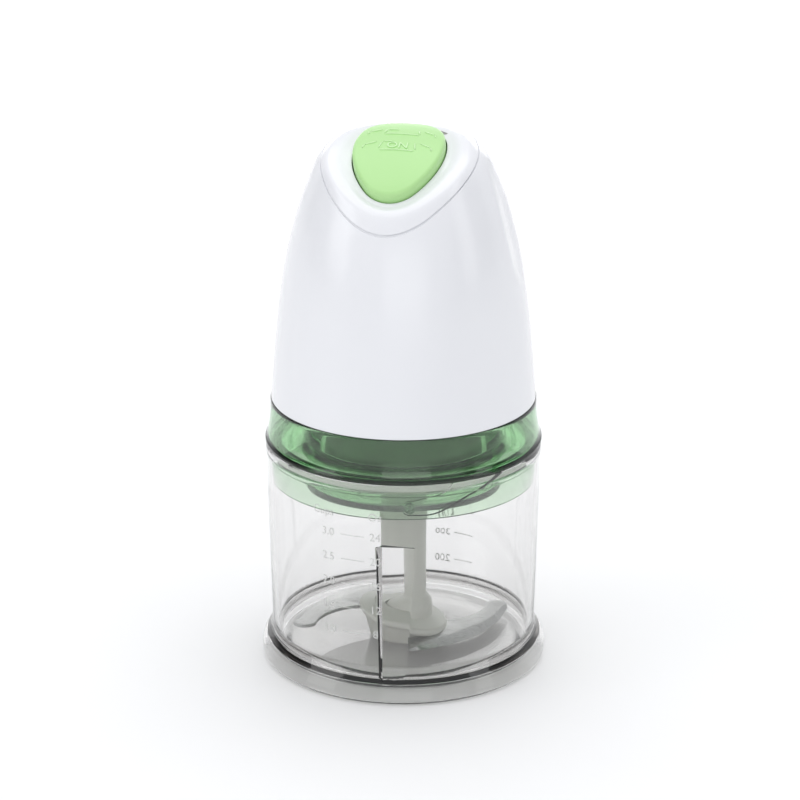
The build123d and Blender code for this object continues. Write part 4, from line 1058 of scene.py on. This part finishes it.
class BuildHub(bpy.types.Operator):
    """Hub of the blade unit: tube with the drive socket, collar and a sloping oval brim"""
    bl_idname = "foodproc.hub"
    bl_label = "Blade hub"

    def execute(self, context):
        size = context.scene.fp_blades
        angle = np.linspace(0, 360, 200, endpoint=False)[:, None]
        # the brim's plane tips down to the right, turned with the blades
        toward = np.radians(angle - 90 - BLADE_TURN)
        slope = math.tan(math.radians(size.brim_tilt))

        def tipped(r, z, share):
            """Height of a ring at radius r that follows the brim's slope by share."""
            return z - share * slope * r * np.cos(toward)

        upper = eased([(4.7, 38), (6.5, 38), (6.5, 84), (8.5, 84), (8.5, 96), (10.5, 96), (10.5, 28.2),
                       (13.3, 25.0), (13.3, 21.4)], [0, 0, 0, 0, 0.3, 0.5, 1.6, 1.6, 0], closed=False)
        grow = np.linspace(0, 1, 14)[1:]
        skirt_r = 13.3 + (19.6 - 13.3) * grow
        skirt_z = 21.4 - 1.9 * grow ** 0.9
        skirt_share = 1 + 0 * grow
        bend = np.radians(np.linspace(70, -80, 9))
        edge_r = 18.6 + 1.9 * np.cos(bend)
        edge_z = 17.5 + 1.9 * np.sin(bend)
        under_r = np.array([17.9, 17.0, 16.2, 15.6, 15.2, 14.4, 4.7])
        under_z = np.array([14.7, 12.6, 10.6, 8.8, 8.3, 8.2, 8.2])
        under_share = np.array([0.75, 0.45, 0.18, 0.04, 0, 0, 0])
        r = np.r_[upper[:, 0], skirt_r, edge_r, under_r]
        z = np.r_[upper[:, 1], skirt_z, edge_z, under_z]
        share = np.r_[0 * upper[:-1, 0], 1, skirt_share, 1 + 0 * edge_r, under_share]
        points = around(angle, r[None], tipped(r[None], z[None], share[None]))
        points[..., 2] = np.maximum(points[..., 2], 8.2)
        grids = [(points, True, True)]
        # two driving lugs in the socket
        for middle in (-30, 150):
            fan = np.linspace(middle - 20, middle + 20, 12)[:, None]
            ring = np.array([(5.9, 84.0), (8.7, 84.0), (8.7, 95.0), (5.9, 95.0)])
            lug = around(fan, ring[None, :, 0], ring[None, :, 1])
            start = lug[:1].mean(1, keepdims=True).repeat(4, 1)
            end = lug[-1:].mean(1, keepdims=True).repeat(4, 1)
            grids.append((np.concatenate([start, lug, end]), False, True))
        piece("blade_hub_body", grids, "blade_hub", hub_acetal(), crease=40)
        return {"FINISHED"}


# ---------------------------------------------------------------- CAD pieces that keep their shape
class FinishCadPieces(bpy.types.Operator):
    """Gives every CAD piece its material: seal, chassis, gearbox, motor, electrics and screws"""
    bl_idname = "foodproc.finish_cad"
    bl_label = "Finish the other pieces"

    def execute(self, context):
        for name, obj in frame["nodes"].items():
            material = FINISHES[SLOT_OF[name]]()
            obj.data.materials.clear()
            obj.data.materials.append(material)
        return {"FINISHED"}


# ---------------------------------------------------------------- stage
class BuildStage(bpy.types.Operator):
    """Pale floor, soft studio lamps, plain surroundings and the camera"""
    bl_idname = "foodproc.stage"
    bl_label = "Stage"

    @staticmethod
    def lamp(name, place, aim, width, height, power):
        data = bpy.data.lights.new(name, "AREA")
        data.shape = "RECTANGLE"
        data.size, data.size_y, data.energy = width, height, power
        obj = bpy.data.objects.new(name, data)
        obj.location = place
        obj.rotation_euler = (Vector(aim) - Vector(place)).to_track_quat("-Z", "Y").to_euler()
        bpy.context.scene.collection.objects.link(obj)

    def execute(self, context):
        size = context.scene.fp_stage
        scene = context.scene
        mesh = bpy.data.meshes.new("floor")
        u = np.linspace(-6, 6, 25)
        grid = np.stack(np.broadcast_arrays(u[:, None], u[None], -0.0004), -1)
        mesh.from_pydata(grid.reshape(-1, 3), [], quads_of(25, 25, False, False))
        floor = bpy.data.objects.new("floor", mesh)
        scene.collection.objects.link(floor)
        mat, tree, out, place = new_material("pale_matt_floor")
        cloud = add(tree, "ShaderNodeTexNoise", {"Vector": place, "Scale": 3.0, "Detail": 2.0})
        level = add(tree, "ShaderNodeMapRange", {0: cloud.outputs[0], 3: 0.55, 4: 0.7})
        shader = add(tree, "ShaderNodeBsdfPrincipled",
                     {"Base Color": tuple(size.floor_colour), "Roughness": level.outputs[0], "IOR": 1.4})
        tree.links.new(shader.outputs[0], out.inputs["Surface"])
        mesh.materials.append(mat)

        self.lamp("left_softbox", (-1.5, -0.9, 0.9), (0, 0, 0.14), 0.9, 1.3, 5.5)
        self.lamp("right_softbox", (1.6, -0.3, 0.8), (0, 0, 0.14), 0.5, 1.3, 2.5)
        self.lamp("top_softbox", (0.0, 0.3, 1.9), (0, 0, 0.0), 2.2, 1.8, 13)
        self.lamp("low_softbox", (0.45, -1.9, 0.35), (0, 0, 0.04), 1.4, 0.5, 2.2)
        self.lamp("back_softbox", (-0.3, 1.6, 0.45), (0, 0, 0.04), 1.6, 0.6, 4.0)

        # surroundings: a bright ceiling over a paler horizon, with a dark panel to the left and to the right
        world = bpy.data.worlds.new("studio")
        scene.world = world
        world.use_nodes = True
        tree = world.node_tree
        tree.nodes.clear()
        sky = add(tree, "ShaderNodeTexCoord").outputs["Generated"]
        axes = add(tree, "ShaderNodeSeparateXYZ", {0: sky})
        level = add(tree, "ShaderNodeMapRange", {0: axes.outputs["Z"], 1: 0.05, 2: 0.75, 3: 0.80, 4: 0.9},
                    interpolation_type="SMOOTHSTEP")
        aside = add(tree, "ShaderNodeMath", {0: axes.outputs["X"]}, operation="ABSOLUTE")
        panels = add(tree, "ShaderNodeMapRange", {0: aside.outputs[0], 1: 0.80, 2: 0.95, 3: 1.0, 4: 0.15},
                     interpolation_type="SMOOTHSTEP")
        strength = add(tree, "ShaderNodeMath", {0: level.outputs[0], 1: panels.outputs[0]},
                       operation="MULTIPLY")
        back = add(tree, "ShaderNodeBackground",
                   {"Color": to_linear("#F4F5F8"), "Strength": strength.outputs[0]})
        final = add(tree, "ShaderNodeOutputWorld")
        tree.links.new(back.outputs[0], final.inputs["Surface"])
        scene.cycles.max_bounces = 24
        scene.cycles.transmission_bounces = 24
        scene.cycles.transparent_max_bounces = 24

        lens = bpy.data.cameras.new("camera")
        lens.lens = 167.9
        lens.sensor_width = 36.0
        lens.shift_x, lens.shift_y = -0.0044, 0.0075
        lens.clip_start, lens.clip_end = 0.05, 50
        camera = bpy.data.objects.new("camera", lens)
        scene.collection.objects.link(camera)
        a, e = math.radians(size.azimuth), math.radians(size.elevation)
        aim = Vector((0, 0, 0.120))
        away = Vector((math.sin(a) * math.cos(e), -math.cos(a) * math.cos(e), math.sin(e)))
        camera.location = aim + away * size.distance
        camera.rotation_euler = (-away).to_track_quat("-Z", "Y").to_euler()
        scene.camera = camera
        scene.view_settings.view_transform = "Standard"
        return {"FINISHED"}


# ---------------------------------------------------------------- add-on
OPERATORS = [FinishCadPieces, BuildBowl, BuildMarks, BuildLid, BuildHousing, BuildTopPanel, BuildButton,
             BuildButtonMarks, BuildSpring, BuildBlades, BuildHub, BuildStage]


class FoodProcessorPanel(bpy.types.Panel):
    """Lists the sizes and the pieces"""
    bl_idname = "VIEW3D_PT_food_processor"
    bl_label = "Food processor"
    bl_space_type = "VIEW_3D"
    bl_region_type = "UI"
    bl_category = "Food processor"

    def draw(self, context):
        for name, group in GROUPS.items():
            box = self.layout.box()
            box.label(text=group.__doc__)
            for key in group.__annotations__:
                box.prop(getattr(context.scene, name), key)
        for kind in OPERATORS:
            self.layout.operator(kind.bl_idname)


def register():
    for group in GROUPS.values():
        bpy.utils.register_class(group)
    for name, group in GROUPS.items():
        setattr(bpy.types.Scene, name, PointerProperty(type=group))
    for kind in OPERATORS + [FoodProcessorPanel]:
        bpy.utils.register_class(kind)


def unregister():
    for kind in reversed(OPERATORS + [FoodProcessorPanel]):
        bpy.utils.unregister_class(kind)
    for name in GROUPS:
        delattr(bpy.types.Scene, name)
    for group in reversed(list(GROUPS.values())):
        bpy.utils.unregister_class(group)


def main():
    """Registers the add-on and builds every piece."""
    register()
    for kind in OPERATORS:
        group, name = kind.bl_idname.split(".")
        getattr(getattr(bpy.ops, group), name)()


if __name__ == "__main__":
    main()
